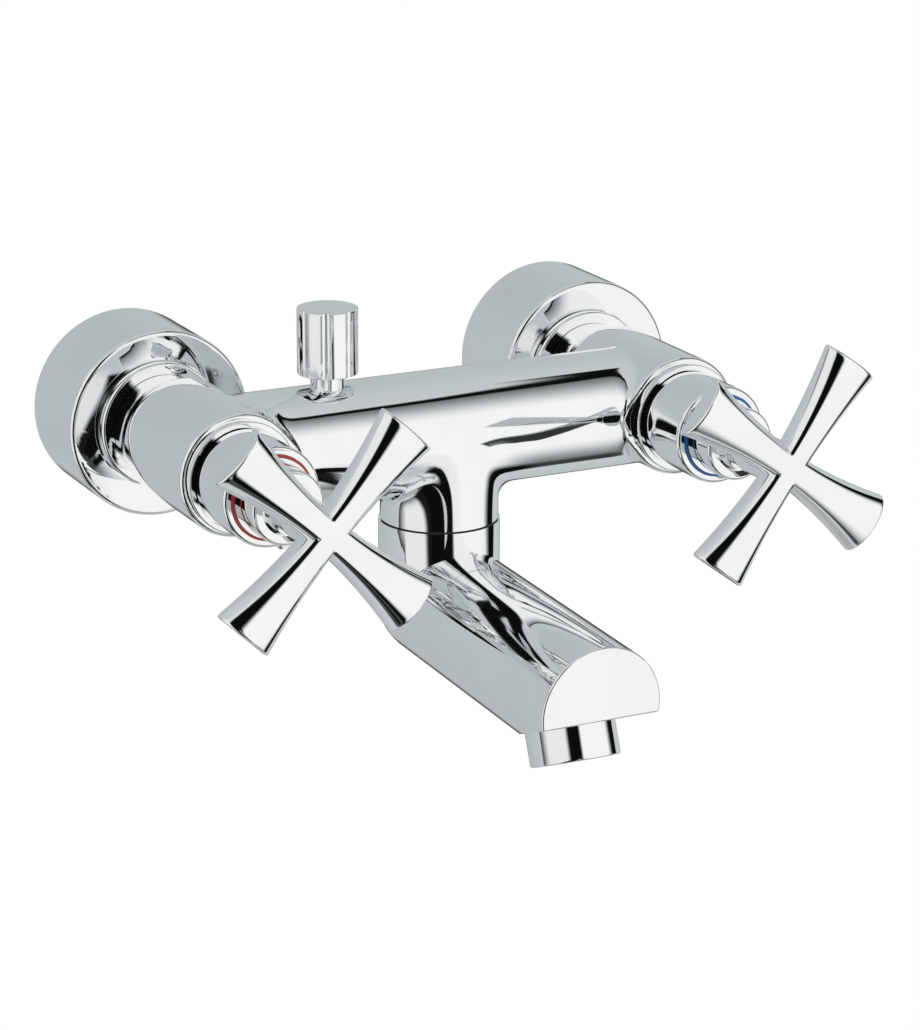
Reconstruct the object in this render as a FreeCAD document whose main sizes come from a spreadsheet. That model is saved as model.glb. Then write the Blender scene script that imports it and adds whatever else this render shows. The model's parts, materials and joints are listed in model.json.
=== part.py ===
import FreeCAD, Part
import math
import os
from types import SimpleNamespace

import Sketcher
from FreeCAD import Placement, Rotation, Vector

# Wall-mounted bath and shower mixer tap with two cross handles, a lift-up diverter and a
# swivelling spout. Millimetres. The origin lies on the finished wall, midway between the two
# inlets; +X is to the right seen from the room, +Y goes into the wall and +Z is up.
# Depths are measured out of the wall, so a depth of 75 is the plane y = -75.

DIMENSIONS = {
    # Wall side: threaded unions, their gaskets, tails, nuts and cover cups
    "inlet_spacing": 150.0,
    "union_thread_radius": 10.48,
    "union_thread_reach": 16.0,
    "union_thread_shoulder": 4.0,
    "union_flange_rise": 1.4,
    "union_flange_width": 5.0,
    "union_nut_thread_radius": 13.2,
    "union_length": 20.0,
    "union_wall": 3.48,
    "gasket_thickness": 2.0,
    "gasket_inset": 0.7,
    "gasket_width": 4.0,
    "tail_flange_inset": 0.6,
    "tail_flange_rise": 2.6,
    "tail_flange_width": 3.0,
    "tail_wall": 2.5,
    "tail_grip": 12.0,
    "nut_wall": 6.66,
    "nut_thread_length": 13.0,
    "nut_lip_width": 8.9,
    "nut_edge_radius": 1.1,
    "nut_proud": 1.8,
    "cup_face_width": 9.74,
    "cup_wall": 1.2,
    "cup_edge_radius": 1.7,
    "cup_dish": 1.1,
    # Body casting: two legs, the cross tube and the neck
    "spigot_length": 3.8,
    "flare_length": 12.0,
    "flare_rise": 2.8,
    "leg_radius": 18.9,
    "leg_back_length": 25.0,
    "leg_front_rise": 0.8,
    "leg_front_edge_radius": 1.6,
    "leg_blend_radius": 4.5,
    "tube_inset": 0.2,
    "neck_inset": 0.3,
    "neck_length": 8.8,
    "neck_blend_radius": 5.5,
    "neck_socket_depth": 13.0,
    "gallery_radius": 5.5,
    "gallery_offset": 6.0,
    "spout_gallery_radius": 3.5,
    "spout_gallery_offset": 5.0,
    # Valves: ceramic disc headworks behind the handles
    "valve_seat_length": 19.0,
    "seat_seal_thickness": 2.0,
    "seat_seal_width": 2.8,
    "disc_gap": 0.1,
    "disc_thickness": 3.0,
    "disc_port_radius": 1.8,
    "disc_port_offset": 3.9,
    "headwork_radius": 9.4,
    "headwork_wall": 1.9,
    "headwork_chamber_length": 18.0,
    "headwork_flange_gap": 0.5,
    "headwork_flange_width": 2.5,
    "headwork_nose_step": 2.4,
    "headwork_nose_length": 12.0,
    "headwork_window_radius": 4.0,
    "spindle_radius": 4.0,
    "spindle_driver_width": 2.5,
    "spindle_collar_gap": 1.0,
    "spindle_collar_width": 1.5,
    "spindle_ring_offset": 13.0,
    "spindle_ring_wire_radius": 0.42,
    "clip_rise": 2.0,
    "clip_thickness": 1.0,
    "clip_groove_depth": 0.75,
    "bezel_inset": 0.1,
    "bezel_base_width": 1.0,
    "bezel_lip_width": 1.7,
    "bezel_lip_wall": 1.6,
    "bezel_edge_radius": 0.6,
    # Handles: skirt, index ring, hub and cross
    "skirt_wall": 1.3,
    "skirt_front_wall": 2.5,
    "skirt_edge_radius": 1.4,
    "skirt_rim": 0.9,
    "index_ring_recess": 1.0,
    "index_ring_proud": 0.1,
    "index_ring_show": 0.9,
    "hub_flange_rise": 0.8,
    "hub_flange_width": 0.9,
    "hub_shoulder_rise": 1.1,
    "hub_back_gap": 0.7,
    "hub_spigot_length": 6.4,
    "hub_length": 11.6,
    "hub_end_wall": 3.0,
    "hub_edge_radius": 1.2,
    "hub_ledge": 3.1,
    "hub_neck_foot_length": 3.5,
    "hub_neck_taper": 1.6,
    "hub_neck_length": 23.0,
    "cross_thickness": 7.5,
    "cross_side_height": 1.6,
    "cross_reach": 36.4,
    "cross_root_width": 10.0,
    "cross_tip_width": 19.6,
    "cross_edge_radius": 0.9,
    "left_handle_angle": 1.7,
    "right_handle_angle": 8.5,
    "grub_radius": 2.0,
    "grub_setback": 6.4,
    "grub_recess": 0.3,
    "grub_socket_radius": 1.1,
    "grub_socket_depth": 2.0,
    # Diverter and shower outlet
    "diverter_travel": 8.0,
    "diverter_bore_radius": 8.0,
    "diverter_seat_width": 2.5,
    "diverter_seat_drop": 8.0,
    "diverter_seat_inset": 0.2,
    "diverter_seat_floor": 2.5,
    "diverter_window_radius": 2.8,
    "diverter_window_step": 4.5,
    "poppet_gap": 0.8,
    "poppet_thickness": 3.0,
    "poppet_seal_thickness": 2.0,
    "diverter_stem_radius": 2.5,
    "bush_inset": 0.25,
    "bush_collar_rise": 3.5,
    "bush_length": 9.0,
    "bush_ring_wire_radius": 0.6,
    "knob_radius": 9.3,
    "knob_height": 20.3,
    "knob_edge_radius": 0.5,
    "knob_end_wall": 8.3,
    "knob_flute_radius": 1.8,
    "knob_flute_depth": 0.5,
    "knob_angle": 18.3,
    "outlet_step": 9.4,
    "outlet_thread_radius": 10.48,
    "outlet_thread_length": 10.3,
    "outlet_boss_rise": 0.82,
    "outlet_boss_proud": 0.5,
    "outlet_root_step": 1.0,
    "outlet_wall": 4.48,
    "check_valve_length": 8.0,
    "check_valve_wall": 2.35,
    # Spout and aerator
    "glide_ring_thickness": 0.5,
    "glide_ring_inset": 0.4,
    "nipple_wall": 3.5,
    "nipple_ring_wire_radius": 0.8,
    "nipple_groove_width": 3.7,
    "nipple_groove_depth": 1.6,
    "collar_rise": 0.5,
    "collar_height": 26.0,
    "spout_rise": 0.5,
    "spout_length": 105.9,
    "spout_slope": 1.56,
    "spout_chord_drop": 3.1,
    "spout_flat_angle": 24.0,
    "spout_edge_radius": 0.8,
    "spout_wall": 7.9,
    "waterway_stop": 27.9,
    "aerator_radius": 13.4,
    "aerator_height": 10.3,
    "aerator_edge_radius": 0.7,
    "aerator_wall": 2.1,
    "aerator_ledge": 1.4,
    "aerator_thread_length": 7.0,
    "aerator_setback": 20.6,
    "aerator_gasket_thickness": 1.5,
    "aerator_gasket_width": 3.5,
    "aerator_insert_recess": 1.5,
    "aerator_insert_floor": 3.0,
    "spout_screw_radius": 1.5,
    "spout_screw_tip_gap": 0.5,
    # Fits shared by all pieces
    "running_fit": 0.05,
    "free_gap": 0.3,
    "overrun": 30.0,
}

# Shares of the handle's arm length and of its widening where the arm's cross sections stand
ARM_STATION_SHARES = (0.0, 0.3, 0.65, 1.0)
ARM_WIDENING_SHARES = (0.0, 0.06, 0.4, 1.0)
# Share of the way from the middle to the hot inlet where the diverter stands
DIVERTER_PLACE_SHARE = 0.5013
# Share of the neck's radius that the spout nipple takes up
NIPPLE_RADIUS_SHARE = 0.598
# Shares of the spout collar's height where the nipple's rings, screw groove and end lie
UPPER_RING_SHARE = 0.21
LOWER_RING_SHARE = 0.44
SCREW_GROOVE_SHARE = 0.645
NIPPLE_END_SHARE = 0.77
ARM_COUNT = 4
FLUTE_COUNT = 8
QUARTER_TURN = 90.0
FULL_TURN = 360.0
EIGHTH_TURN = 45.0

document = FreeCAD.newDocument("wall_mixer_tap")
sheet = document.addObject("Spreadsheet::Sheet", "Dims")
for row, (alias, number) in enumerate(DIMENSIONS.items(), start=1):
    sheet.set(f"A{row}", alias)
    sheet.set(f"B{row}", str(number))
    sheet.setAlias(f"B{row}", alias)
document.recompute()


class Size:
    """A length that knows its number and the sheet expression it comes from."""

    def __init__(self, number, expression):
        self.number = number
        self.expression = expression

    def __add__(self, other):
        return combine(self, "+", other)

    def __sub__(self, other):
        return combine(self, "-", other)

    def __mul__(self, other):
        return combine(self, "*", other)

    def __truediv__(self, other):
        return combine(self, "/", other)

    def __neg__(self):
        return Size(-self.number, f"-({self.expression})")


def sized(value):
    """Any number as a Size."""
    return value if isinstance(value, Size) else Size(float(value), repr(float(value)))


def combine(first, sign, second):
    """The sum, difference, product or quotient of two sizes, kept as an expression too."""
    one = sized(first)
    two = sized(second)
    results = {
        "+": one.number + two.number,
        "-": one.number - two.number,
        "*": one.number * two.number,
    }
    number = one.number / two.number if sign == "/" else results[sign]
    return Size(number, f"({one.expression} {sign} {two.expression})")


ZERO = sized(0)
d = SimpleNamespace(**{alias: Size(float(sheet.get(alias)), f"{sheet.Name}.{alias}")
                       for alias in DIMENSIONS})

# Radii that follow from neighbouring pieces
side_reach = d.inlet_spacing / 2
d.union_flange_radius = d.union_nut_thread_radius + d.union_flange_rise
d.union_bore_radius = d.union_thread_radius - d.union_wall
d.gasket_outer_radius = d.union_nut_thread_radius - d.gasket_inset
d.gasket_inner_radius = d.gasket_outer_radius - d.gasket_width
d.tail_flange_radius = d.union_nut_thread_radius - d.tail_flange_inset
d.tail_radius = d.tail_flange_radius - d.tail_flange_rise
d.tail_bore_radius = d.tail_radius - d.tail_wall
d.nut_radius = d.union_nut_thread_radius + d.nut_wall
d.cup_radius = d.nut_radius + d.cup_face_width
d.spigot_radius = d.leg_radius - d.flare_rise
d.tube_radius = d.leg_radius - d.tube_inset
d.neck_radius = d.tube_radius - d.neck_inset
d.headwork_chamber_radius = d.headwork_radius - d.headwork_wall
d.headwork_nose_radius = d.headwork_radius - d.headwork_nose_step
d.disc_radius = d.headwork_chamber_radius - d.disc_gap
d.seat_seal_inner_radius = d.disc_radius - d.seat_seal_width
d.spindle_collar_radius = d.headwork_chamber_radius - d.spindle_collar_gap
d.clip_radius = d.spindle_radius + d.clip_rise
d.bezel_radius = d.leg_radius - d.leg_front_edge_radius - d.bezel_inset
d.skirt_radius = d.bezel_radius - d.bezel_lip_wall - d.free_gap
d.headwork_flange_radius = d.skirt_radius - d.skirt_wall - d.headwork_flange_gap
d.index_ring_radius = d.skirt_radius - d.skirt_edge_radius - d.skirt_rim
d.hub_flange_radius = d.index_ring_radius - d.index_ring_show
d.hub_radius = d.hub_flange_radius - d.hub_flange_rise
d.hub_spigot_radius = d.hub_radius - d.hub_shoulder_rise
d.hub_neck_foot_radius = d.hub_radius - d.hub_ledge
d.hub_neck_radius = d.hub_neck_foot_radius - d.hub_neck_taper
d.diverter_seat_radius = d.diverter_bore_radius - d.diverter_seat_width
d.poppet_radius = d.diverter_bore_radius - d.poppet_gap
d.bush_radius = d.diverter_seat_radius - d.bush_inset
d.outlet_boss_radius = d.outlet_thread_radius + d.outlet_boss_rise
d.outlet_bore_radius = d.outlet_thread_radius - d.outlet_wall
d.check_valve_bore_radius = d.outlet_bore_radius - d.running_fit - d.check_valve_wall
d.glide_ring_radius = d.neck_radius - d.glide_ring_inset
d.nipple_radius = d.neck_radius * NIPPLE_RADIUS_SHARE
d.nipple_bore_radius = d.nipple_radius - d.nipple_wall
d.collar_radius = d.neck_radius + d.collar_rise
d.spout_radius = d.collar_radius + d.spout_rise
d.waterway_radius = d.spout_radius - d.spout_wall
d.waterway_length = d.spout_length - d.waterway_stop
d.aerator_thread_radius = d.aerator_radius - d.aerator_ledge
d.aerator_gasket_bore_radius = d.aerator_thread_radius - d.aerator_gasket_width

# Depths out of the wall, each piece seated on the one before
gasket_back = d.union_length
tail_back = gasket_back + d.gasket_thickness
tail_shoulder = tail_back + d.tail_flange_width
d.nut_back_depth = tail_shoulder - d.nut_thread_length
d.nut_front_depth = tail_shoulder + d.nut_lip_width
d.cup_depth = d.nut_front_depth - d.nut_proud
spigot_back = d.nut_front_depth + d.free_gap
tail_front = spigot_back + d.tail_grip
d.flare_back_depth = spigot_back + d.spigot_length
d.leg_back_depth = d.flare_back_depth + d.flare_length
d.body_axis_depth = d.leg_back_depth + d.leg_back_length
d.leg_front_depth = d.body_axis_depth + d.tube_radius + d.leg_front_rise
d.valve_seat_depth = d.body_axis_depth - d.valve_seat_length
seal_front = d.valve_seat_depth + d.seat_seal_thickness
fixed_disc_front = seal_front + d.disc_thickness
moving_disc_front = fixed_disc_front + d.disc_thickness
driver_front = moving_disc_front + d.spindle_driver_width
d.headwork_chamber_depth = d.valve_seat_depth + d.headwork_chamber_length
d.spindle_ring_depth = d.headwork_chamber_depth + d.spindle_ring_offset
bezel_base_front = d.leg_front_depth + d.bezel_base_width
bezel_front = bezel_base_front + d.bezel_lip_width
headwork_flange_front = bezel_base_front + d.headwork_flange_width
d.headwork_nose_depth = headwork_flange_front + d.headwork_nose_length
clip_back = d.headwork_nose_depth + d.free_gap
d.hub_back_depth = clip_back + d.clip_thickness + d.hub_back_gap
hub_shoulder = d.hub_back_depth + d.hub_spigot_length
d.hub_front_depth = hub_shoulder + d.hub_length
d.spindle_tip_depth = d.hub_front_depth - d.hub_end_wall
d.grub_depth = d.hub_front_depth - d.grub_setback
d.cross_back_depth = d.hub_front_depth + d.hub_neck_length
d.skirt_front_depth = hub_shoulder - d.index_ring_proud
index_ring_floor = d.skirt_front_depth - d.index_ring_recess
gallery_depth = d.body_axis_depth - d.gallery_offset
spout_gallery_depth = d.body_axis_depth + d.spout_gallery_offset

# Heights above and drops below the cross tube's axis
d.diverter_offset = side_reach * DIVERTER_PLACE_SHARE
d.outlet_offset = d.diverter_offset + d.outlet_step
d.diverter_seat_end_drop = d.tube_radius - d.diverter_seat_inset
d.diverter_window_drop = d.diverter_seat_drop + d.diverter_window_step
d.outlet_root_drop = d.diverter_seat_drop + d.outlet_root_step
d.outlet_boss_drop = d.tube_radius + d.outlet_boss_proud
d.outlet_tip_drop = d.outlet_boss_drop + d.outlet_thread_length
poppet_top = d.poppet_seal_thickness * 2 + d.poppet_thickness - d.diverter_seat_drop
upper_seat = poppet_top + d.diverter_travel + d.free_gap
spout_gallery_height = upper_seat + d.spout_gallery_radius + d.running_fit
bush_top = d.tube_radius + d.bush_collar_rise
bush_bottom = bush_top - d.bush_length
knob_bottom = bush_top + d.free_gap
d.knob_bore_depth = d.knob_height - d.knob_end_wall
d.neck_bottom_drop = d.tube_radius + d.neck_length
collar_top_drop = d.neck_bottom_drop + d.glide_ring_thickness
nipple_top_drop = d.neck_bottom_drop - d.neck_socket_depth + d.free_gap
d.spout_axis_drop = collar_top_drop + d.collar_height
d.nipple_upper_ring_drop = collar_top_drop + d.collar_height * UPPER_RING_SHARE
d.nipple_lower_ring_drop = collar_top_drop + d.collar_height * LOWER_RING_SHARE
d.nipple_groove_drop = collar_top_drop + d.collar_height * SCREW_GROOVE_SHARE
d.nipple_end_drop = collar_top_drop + d.collar_height * NIPPLE_END_SHARE
d.spout_screw_tip_radius = d.nipple_radius - d.nipple_groove_depth + d.spout_screw_tip_gap
aerator_socket_depth = d.aerator_thread_length + d.aerator_gasket_thickness

OUT_OF_WALL = Rotation(Vector(1, 0, 0), QUARTER_TURN)
ALONG_TUBE = Rotation(Vector(0, 1, 0), QUARTER_TURN)
UPRIGHT = Rotation()
ORIGIN = (ZERO, ZERO, ZERO)


def place(piece, base=ORIGIN, rotation=UPRIGHT):
    """Turns a piece and binds its place to the sheet."""
    piece.Placement = Placement(Vector(*(length.number for length in base)), rotation)
    for axis, length in zip("xyz", base):
        piece.setExpression(f"Placement.Base.{axis}", length.expression)
    return piece


def origin_plane(body, role):
    """One of a body's own origin planes."""
    return next(item for item in body.Origin.OriginFeatures if item.Role == role)


def arc_between(start, end, radius, bend):
    """The short arc of a given radius from start to end; bend is 1 leftwards, -1 rightwards."""
    chord = end - start
    half = chord.Length / 2
    side = Vector(-chord.y, chord.x, 0).normalize() * bend
    centre = (start + end) / 2 + side * math.sqrt(max(radius * radius - half * half, 0))
    first, last = (start, end) if bend > 0 else (end, start)
    angles = [math.atan2(point.y - centre.y, point.x - centre.x) for point in (first, last)]
    return Part.ArcOfCircle(Part.Circle(centre, Vector(0, 0, 1), radius), *angles)


def bind(sketch, kind, first, second, length):
    """A signed distance from one sketch point to another, bound to the sheet."""
    if length.number < 0:
        first, second, length = second, first, -length
    index = sketch.addConstraint(Sketcher.Constraint(kind, *first, *second, length.number))
    sketch.setExpression(f"Constraints[{index}]", length.expression)


def draw_outline(sketch, corners):
    """A closed outline through (across, up) corners; a third item makes the next run an arc."""
    points = [Vector(corner[0].number, corner[1].number, 0) for corner in corners]
    following = points[1:] + points[:1]
    starts = []
    ends = []
    for index, (corner, start, end) in enumerate(zip(corners, points, following)):
        if len(corner) == 2:
            sketch.addGeometry(Part.LineSegment(start, end))
            starts.append((index, 1))
            ends.append((index, 2))
            continue
        radius, bend = corner[2]
        sketch.addGeometry(arc_between(start, end, radius.number, bend))
        starts.append((index, 1 if bend > 0 else 2))
        ends.append((index, 2 if bend > 0 else 1))
    for end, start in zip(ends, starts[1:] + starts[:1]):
        sketch.addConstraint(Sketcher.Constraint("Coincident", *end, *start))
    sheet_origin = (-1, 1)
    for corner, start in zip(corners, starts):
        for kind, axis, length in (("DistanceX", -2, corner[0]), ("DistanceY", -1, corner[1])):
            if length.number == 0:
                sketch.addConstraint(Sketcher.Constraint("PointOnObject", *start, axis))
            else:
                bind(sketch, kind, sheet_origin, start, length)
    for index, corner in enumerate(corners):
        if len(corner) == 3:
            radius = corner[2][0]
            limit = sketch.addConstraint(Sketcher.Constraint("Radius", index, radius.number))
            sketch.setExpression(f"Constraints[{limit}]", radius.expression)


def draw_circle(sketch, radius, across=ZERO, up=ZERO):
    """A circle with its radius and centre bound to the sheet."""
    index = sketch.addGeometry(
        Part.Circle(Vector(across.number, up.number, 0), Vector(0, 0, 1), radius.number))
    limit = sketch.addConstraint(Sketcher.Constraint("Radius", index, radius.number))
    sketch.setExpression(f"Constraints[{limit}]", radius.expression)
    for kind, axis, length in (("DistanceX", -2, across), ("DistanceY", -1, up)):
        if length.number == 0:
            sketch.addConstraint(Sketcher.Constraint("PointOnObject", index, 3, axis))
        else:
            bind(sketch, kind, (-1, 1), (index, 3), length)


def new_sketch(body, name, role, offset=None):
    """A sketch on one of a body's origin planes, or at an offset along its normal."""
    sketch = body.newObject("Sketcher::SketchObject", name)
    sketch.AttachmentSupport = [(origin_plane(body, role), "")]
    sketch.MapMode = "FlatFace"
    if offset is not None:
        sketch.AttachmentOffset = Placement(Vector(0, 0, offset.number), Rotation())
        sketch.setExpression("AttachmentOffset.Base.z", offset.expression)
    return sketch


def turned(label, corners, base=ORIGIN, rotation=UPRIGHT):
    """A lathe-turned piece: (radius, height) corners spun about the piece's own Z axis."""
    body = document.addObject("PartDesign::Body", label)
    sketch = new_sketch(body, f"{label}_outline", "XZ_Plane")
    draw_outline(sketch, corners)
    turn = body.newObject("PartDesign::Revolution", f"{label}_turn")
    turn.Profile = sketch
    turn.ReferenceAxis = (sketch, ["V_Axis"])
    turn.Angle = FULL_TURN
    return place(body, base, rotation)


def tube_outline(inner, outer, low, high):
    """The four corners of a plain ring or sleeve."""
    return [(inner, low), (outer, low), (outer, high), (inner, high)]


def cylinder(name, radius, length, base=ORIGIN, rotation=UPRIGHT):
    """A plain cylinder from its base along its own Z axis."""
    shape = document.addObject("Part::Cylinder", name)
    shape.Radius = radius.number
    shape.Height = length.number
    shape.setExpression("Radius", radius.expression)
    shape.setExpression("Height", length.expression)
    return place(shape, base, rotation)


def block(name, lengths, base, rotation=UPRIGHT):
    """A plain box from its low corner."""
    shape = document.addObject("Part::Box", name)
    for side, length in zip(("Length", "Width", "Height"), lengths):
        setattr(shape, side, length.number)
        shape.setExpression(side, length.expression)
    return place(shape, base, rotation)


def torus(label, ring, wire, base, rotation=UPRIGHT):
    """An O-ring about its own Z axis."""
    shape = document.addObject("Part::Torus", label)
    shape.Radius1 = ring.number
    shape.Radius2 = wire.number
    shape.setExpression("Radius1", ring.expression)
    shape.setExpression("Radius2", wire.expression)
    return place(shape, base, rotation)


def fused(name, shapes):
    """Several solids joined into one."""
    joined = document.addObject("Part::MultiFuse", name)
    joined.Shapes = shapes
    joined.Refine = True
    return joined


def grouped(name, shapes):
    """Several separate solids kept as one group."""
    group = document.addObject("Part::Compound", name)
    group.Links = shapes
    return group


def drilled(name, base, tools):
    """A solid with one or more tools cut out of it."""
    cut = document.addObject("Part::Cut", name)
    cut.Base = base
    cut.Tool = tools[0] if len(tools) == 1 else fused(f"{name}_tools", tools)
    return cut


def rounded(name, base, radius, is_chosen):
    """A solid with the chosen edges rounded."""
    document.recompute()
    fillet = document.addObject("Part::Fillet", name)
    fillet.Base = base
    fillet.Edges = [(index, radius.number, radius.number)
                    for index, edge in enumerate(base.Shape.Edges, start=1) if is_chosen(edge)]
    return fillet


def is_seam(edge):
    """True on a curve where two round surfaces run into each other."""
    return not isinstance(edge.Curve, (Part.Line, Part.Circle))


nodes = []


def keep(piece, label):
    """Names a finished sub-part, so that it is checked and written."""
    piece.Label = label
    nodes.append(piece)
    return piece


def wall_side(side, place_x):
    """Union, gasket, tail, nut and cover cup of one inlet, from the wall outwards."""
    base = (place_x, ZERO, ZERO)

    def lathe(name, corners):
        return keep(turned(f"{side}_{name}", corners, base, OUT_OF_WALL), f"{side}_{name}")

    flange_front = d.union_thread_shoulder + d.union_flange_width
    lathe("wall_union", [
        (d.union_bore_radius, -d.union_thread_reach),
        (d.union_thread_radius, -d.union_thread_reach),
        (d.union_thread_radius, d.union_thread_shoulder),
        (d.union_flange_radius, d.union_thread_shoulder),
        (d.union_flange_radius, flange_front),
        (d.union_nut_thread_radius, flange_front),
        (d.union_nut_thread_radius, d.union_length),
        (d.union_bore_radius, d.union_length),
    ])
    lathe("union_gasket",
          tube_outline(d.gasket_inner_radius, d.gasket_outer_radius, gasket_back, tail_back))
    lathe("inlet_tail", [
        (d.tail_bore_radius, tail_back),
        (d.tail_flange_radius, tail_back),
        (d.tail_flange_radius, tail_shoulder),
        (d.tail_radius, tail_shoulder),
        (d.tail_radius, tail_front),
        (d.tail_bore_radius, tail_front),
    ])
    nut_thread = d.union_nut_thread_radius + d.running_fit
    lip_bore = d.tail_radius + d.free_gap
    lathe("union_nut", [
        (nut_thread, d.nut_back_depth),
        (d.nut_radius, d.nut_back_depth),
        (d.nut_radius, d.nut_front_depth - d.nut_edge_radius, (d.nut_edge_radius, 1)),
        (d.nut_radius - d.nut_edge_radius, d.nut_front_depth),
        (lip_bore, d.nut_front_depth),
        (lip_bore, tail_shoulder),
        (nut_thread, tail_shoulder),
    ])
    hole = d.nut_radius + d.free_gap
    inside = d.cup_radius - d.cup_wall
    lathe("escutcheon", [
        (inside, ZERO),
        (d.cup_radius, ZERO),
        (d.cup_radius, d.cup_depth - d.cup_edge_radius, (d.cup_edge_radius, 1)),
        (d.cup_radius - d.cup_edge_radius, d.cup_depth),
        (hole, d.cup_depth - d.cup_dish),
        (hole, d.cup_depth - d.cup_dish - d.cup_wall),
        (inside, d.cup_depth - d.cup_edge_radius - d.cup_wall),
    ])


def ceramic_disc(label, base, port_angle):
    """A valve disc with two opposite round ports, its back face at the base."""
    body = document.addObject("PartDesign::Body", label)
    sketch = new_sketch(body, f"{label}_outline", "XY_Plane")
    draw_circle(sketch, d.disc_radius)
    draw_circle(sketch, d.disc_port_radius, d.disc_port_offset)
    draw_circle(sketch, d.disc_port_radius, -d.disc_port_offset)
    pad = body.newObject("PartDesign::Pad", f"{label}_pad")
    pad.Profile = sketch
    pad.Length = d.disc_thickness.number
    pad.setExpression("Length", d.disc_thickness.expression)
    turn = OUT_OF_WALL.multiply(Rotation(Vector(0, 0, 1), port_angle))
    return keep(place(body, base, turn), label)


def valve(side, place_x):
    """Ceramic disc headwork of one leg, from its seat in the body to the spindle's tip."""
    base = (place_x, ZERO, ZERO)

    def lathe(name, corners):
        return turned(f"{side}_{name}", corners, base, OUT_OF_WALL)

    keep(lathe("seat_seal", tube_outline(
        d.seat_seal_inner_radius, d.disc_radius, d.valve_seat_depth, seal_front)),
        f"{side}_seat_seal")
    ceramic_disc(f"{side}_fixed_disc", (place_x, -seal_front, ZERO), 0)
    ceramic_disc(f"{side}_moving_disc", (place_x, -fixed_disc_front, ZERO), QUARTER_TURN)

    headwork_back = d.valve_seat_depth + d.free_gap
    spindle_bore = d.spindle_radius + d.running_fit
    barrel = lathe("headwork_barrel", [
        (d.headwork_chamber_radius, headwork_back),
        (d.headwork_radius, headwork_back),
        (d.headwork_radius, bezel_base_front),
        (d.headwork_flange_radius, bezel_base_front),
        (d.headwork_flange_radius, headwork_flange_front),
        (d.headwork_nose_radius, headwork_flange_front),
        (d.headwork_nose_radius, d.headwork_nose_depth),
        (spindle_bore, d.headwork_nose_depth),
        (spindle_bore, d.headwork_chamber_depth),
        (d.headwork_chamber_radius, d.headwork_chamber_depth),
    ])
    window = cylinder(f"{side}_headwork_window", d.headwork_window_radius,
                      (d.headwork_radius + d.overrun) * 2,
                      (place_x - d.headwork_radius - d.overrun, -gallery_depth, ZERO), ALONG_TUBE)
    keep(drilled(f"{side}_headwork", barrel, [window]), f"{side}_headwork")

    ring_floor = d.spindle_radius - d.spindle_ring_wire_radius * 2
    ring_back = d.spindle_ring_depth - d.spindle_ring_wire_radius * 2
    ring_front = d.spindle_ring_depth + d.spindle_ring_wire_radius * 2
    clip_floor = d.spindle_radius - d.clip_groove_depth
    collar_front = d.headwork_chamber_depth - d.running_fit
    collar_back = collar_front - d.spindle_collar_width
    keep(lathe("spindle", [
        (ZERO, moving_disc_front),
        (d.disc_radius, moving_disc_front),
        (d.disc_radius, driver_front),
        (d.spindle_radius, driver_front),
        (d.spindle_radius, collar_back),
        (d.spindle_collar_radius, collar_back),
        (d.spindle_collar_radius, collar_front),
        (d.spindle_radius, collar_front),
        (d.spindle_radius, ring_back),
        (ring_floor, ring_back),
        (ring_floor, ring_front),
        (d.spindle_radius, ring_front),
        (d.spindle_radius, clip_back),
        (clip_floor, clip_back),
        (clip_floor, clip_back + d.clip_thickness),
        (d.spindle_radius, clip_back + d.clip_thickness),
        (d.spindle_radius, d.spindle_tip_depth),
        (ZERO, d.spindle_tip_depth),
    ]), f"{side}_spindle")
    keep(torus(f"{side}_spindle_o_ring", ring_floor + d.spindle_ring_wire_radius + d.running_fit,
               d.spindle_ring_wire_radius - d.running_fit / 2,
               (place_x, -d.spindle_ring_depth, ZERO), OUT_OF_WALL), f"{side}_spindle_o_ring")
    keep(lathe("spindle_clip", tube_outline(
        clip_floor + d.running_fit, d.clip_radius, clip_back, clip_back + d.clip_thickness)),
        f"{side}_spindle_clip")

    bezel_bore = d.headwork_radius + d.free_gap
    lip_bore = d.bezel_radius - d.bezel_lip_wall
    keep(lathe("valve_bezel", [
        (bezel_bore, d.leg_front_depth),
        (d.bezel_radius, d.leg_front_depth),
        (d.bezel_radius, bezel_front - d.bezel_edge_radius, (d.bezel_edge_radius, 1)),
        (d.bezel_radius - d.bezel_edge_radius, bezel_front),
        (lip_bore, bezel_front),
        (lip_bore, bezel_base_front),
        (bezel_bore, bezel_base_front),
    ]), f"{side}_valve_bezel")


def arm_section(body, label, station_share, widening_share):
    """One cross section of a handle arm: flat back, short side walls and a domed front."""
    width = d.cross_root_width + (d.cross_tip_width - d.cross_root_width) * widening_share
    half = width / 2
    shoulder = d.cross_back_depth + d.cross_side_height
    dome = d.cross_thickness - d.cross_side_height
    radius = (half * half + dome * dome) / (dome * 2)
    sketch = new_sketch(body, label, "YZ_Plane", d.cross_reach * station_share)
    crest = d.cross_back_depth + d.cross_thickness
    draw_outline(sketch, [
        (-half, d.cross_back_depth),
        (half, d.cross_back_depth),
        (half, shoulder, (radius, 1)),
        (ZERO, crest, (radius, 1)),
        (-half, shoulder),
    ])
    return sketch


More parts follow.
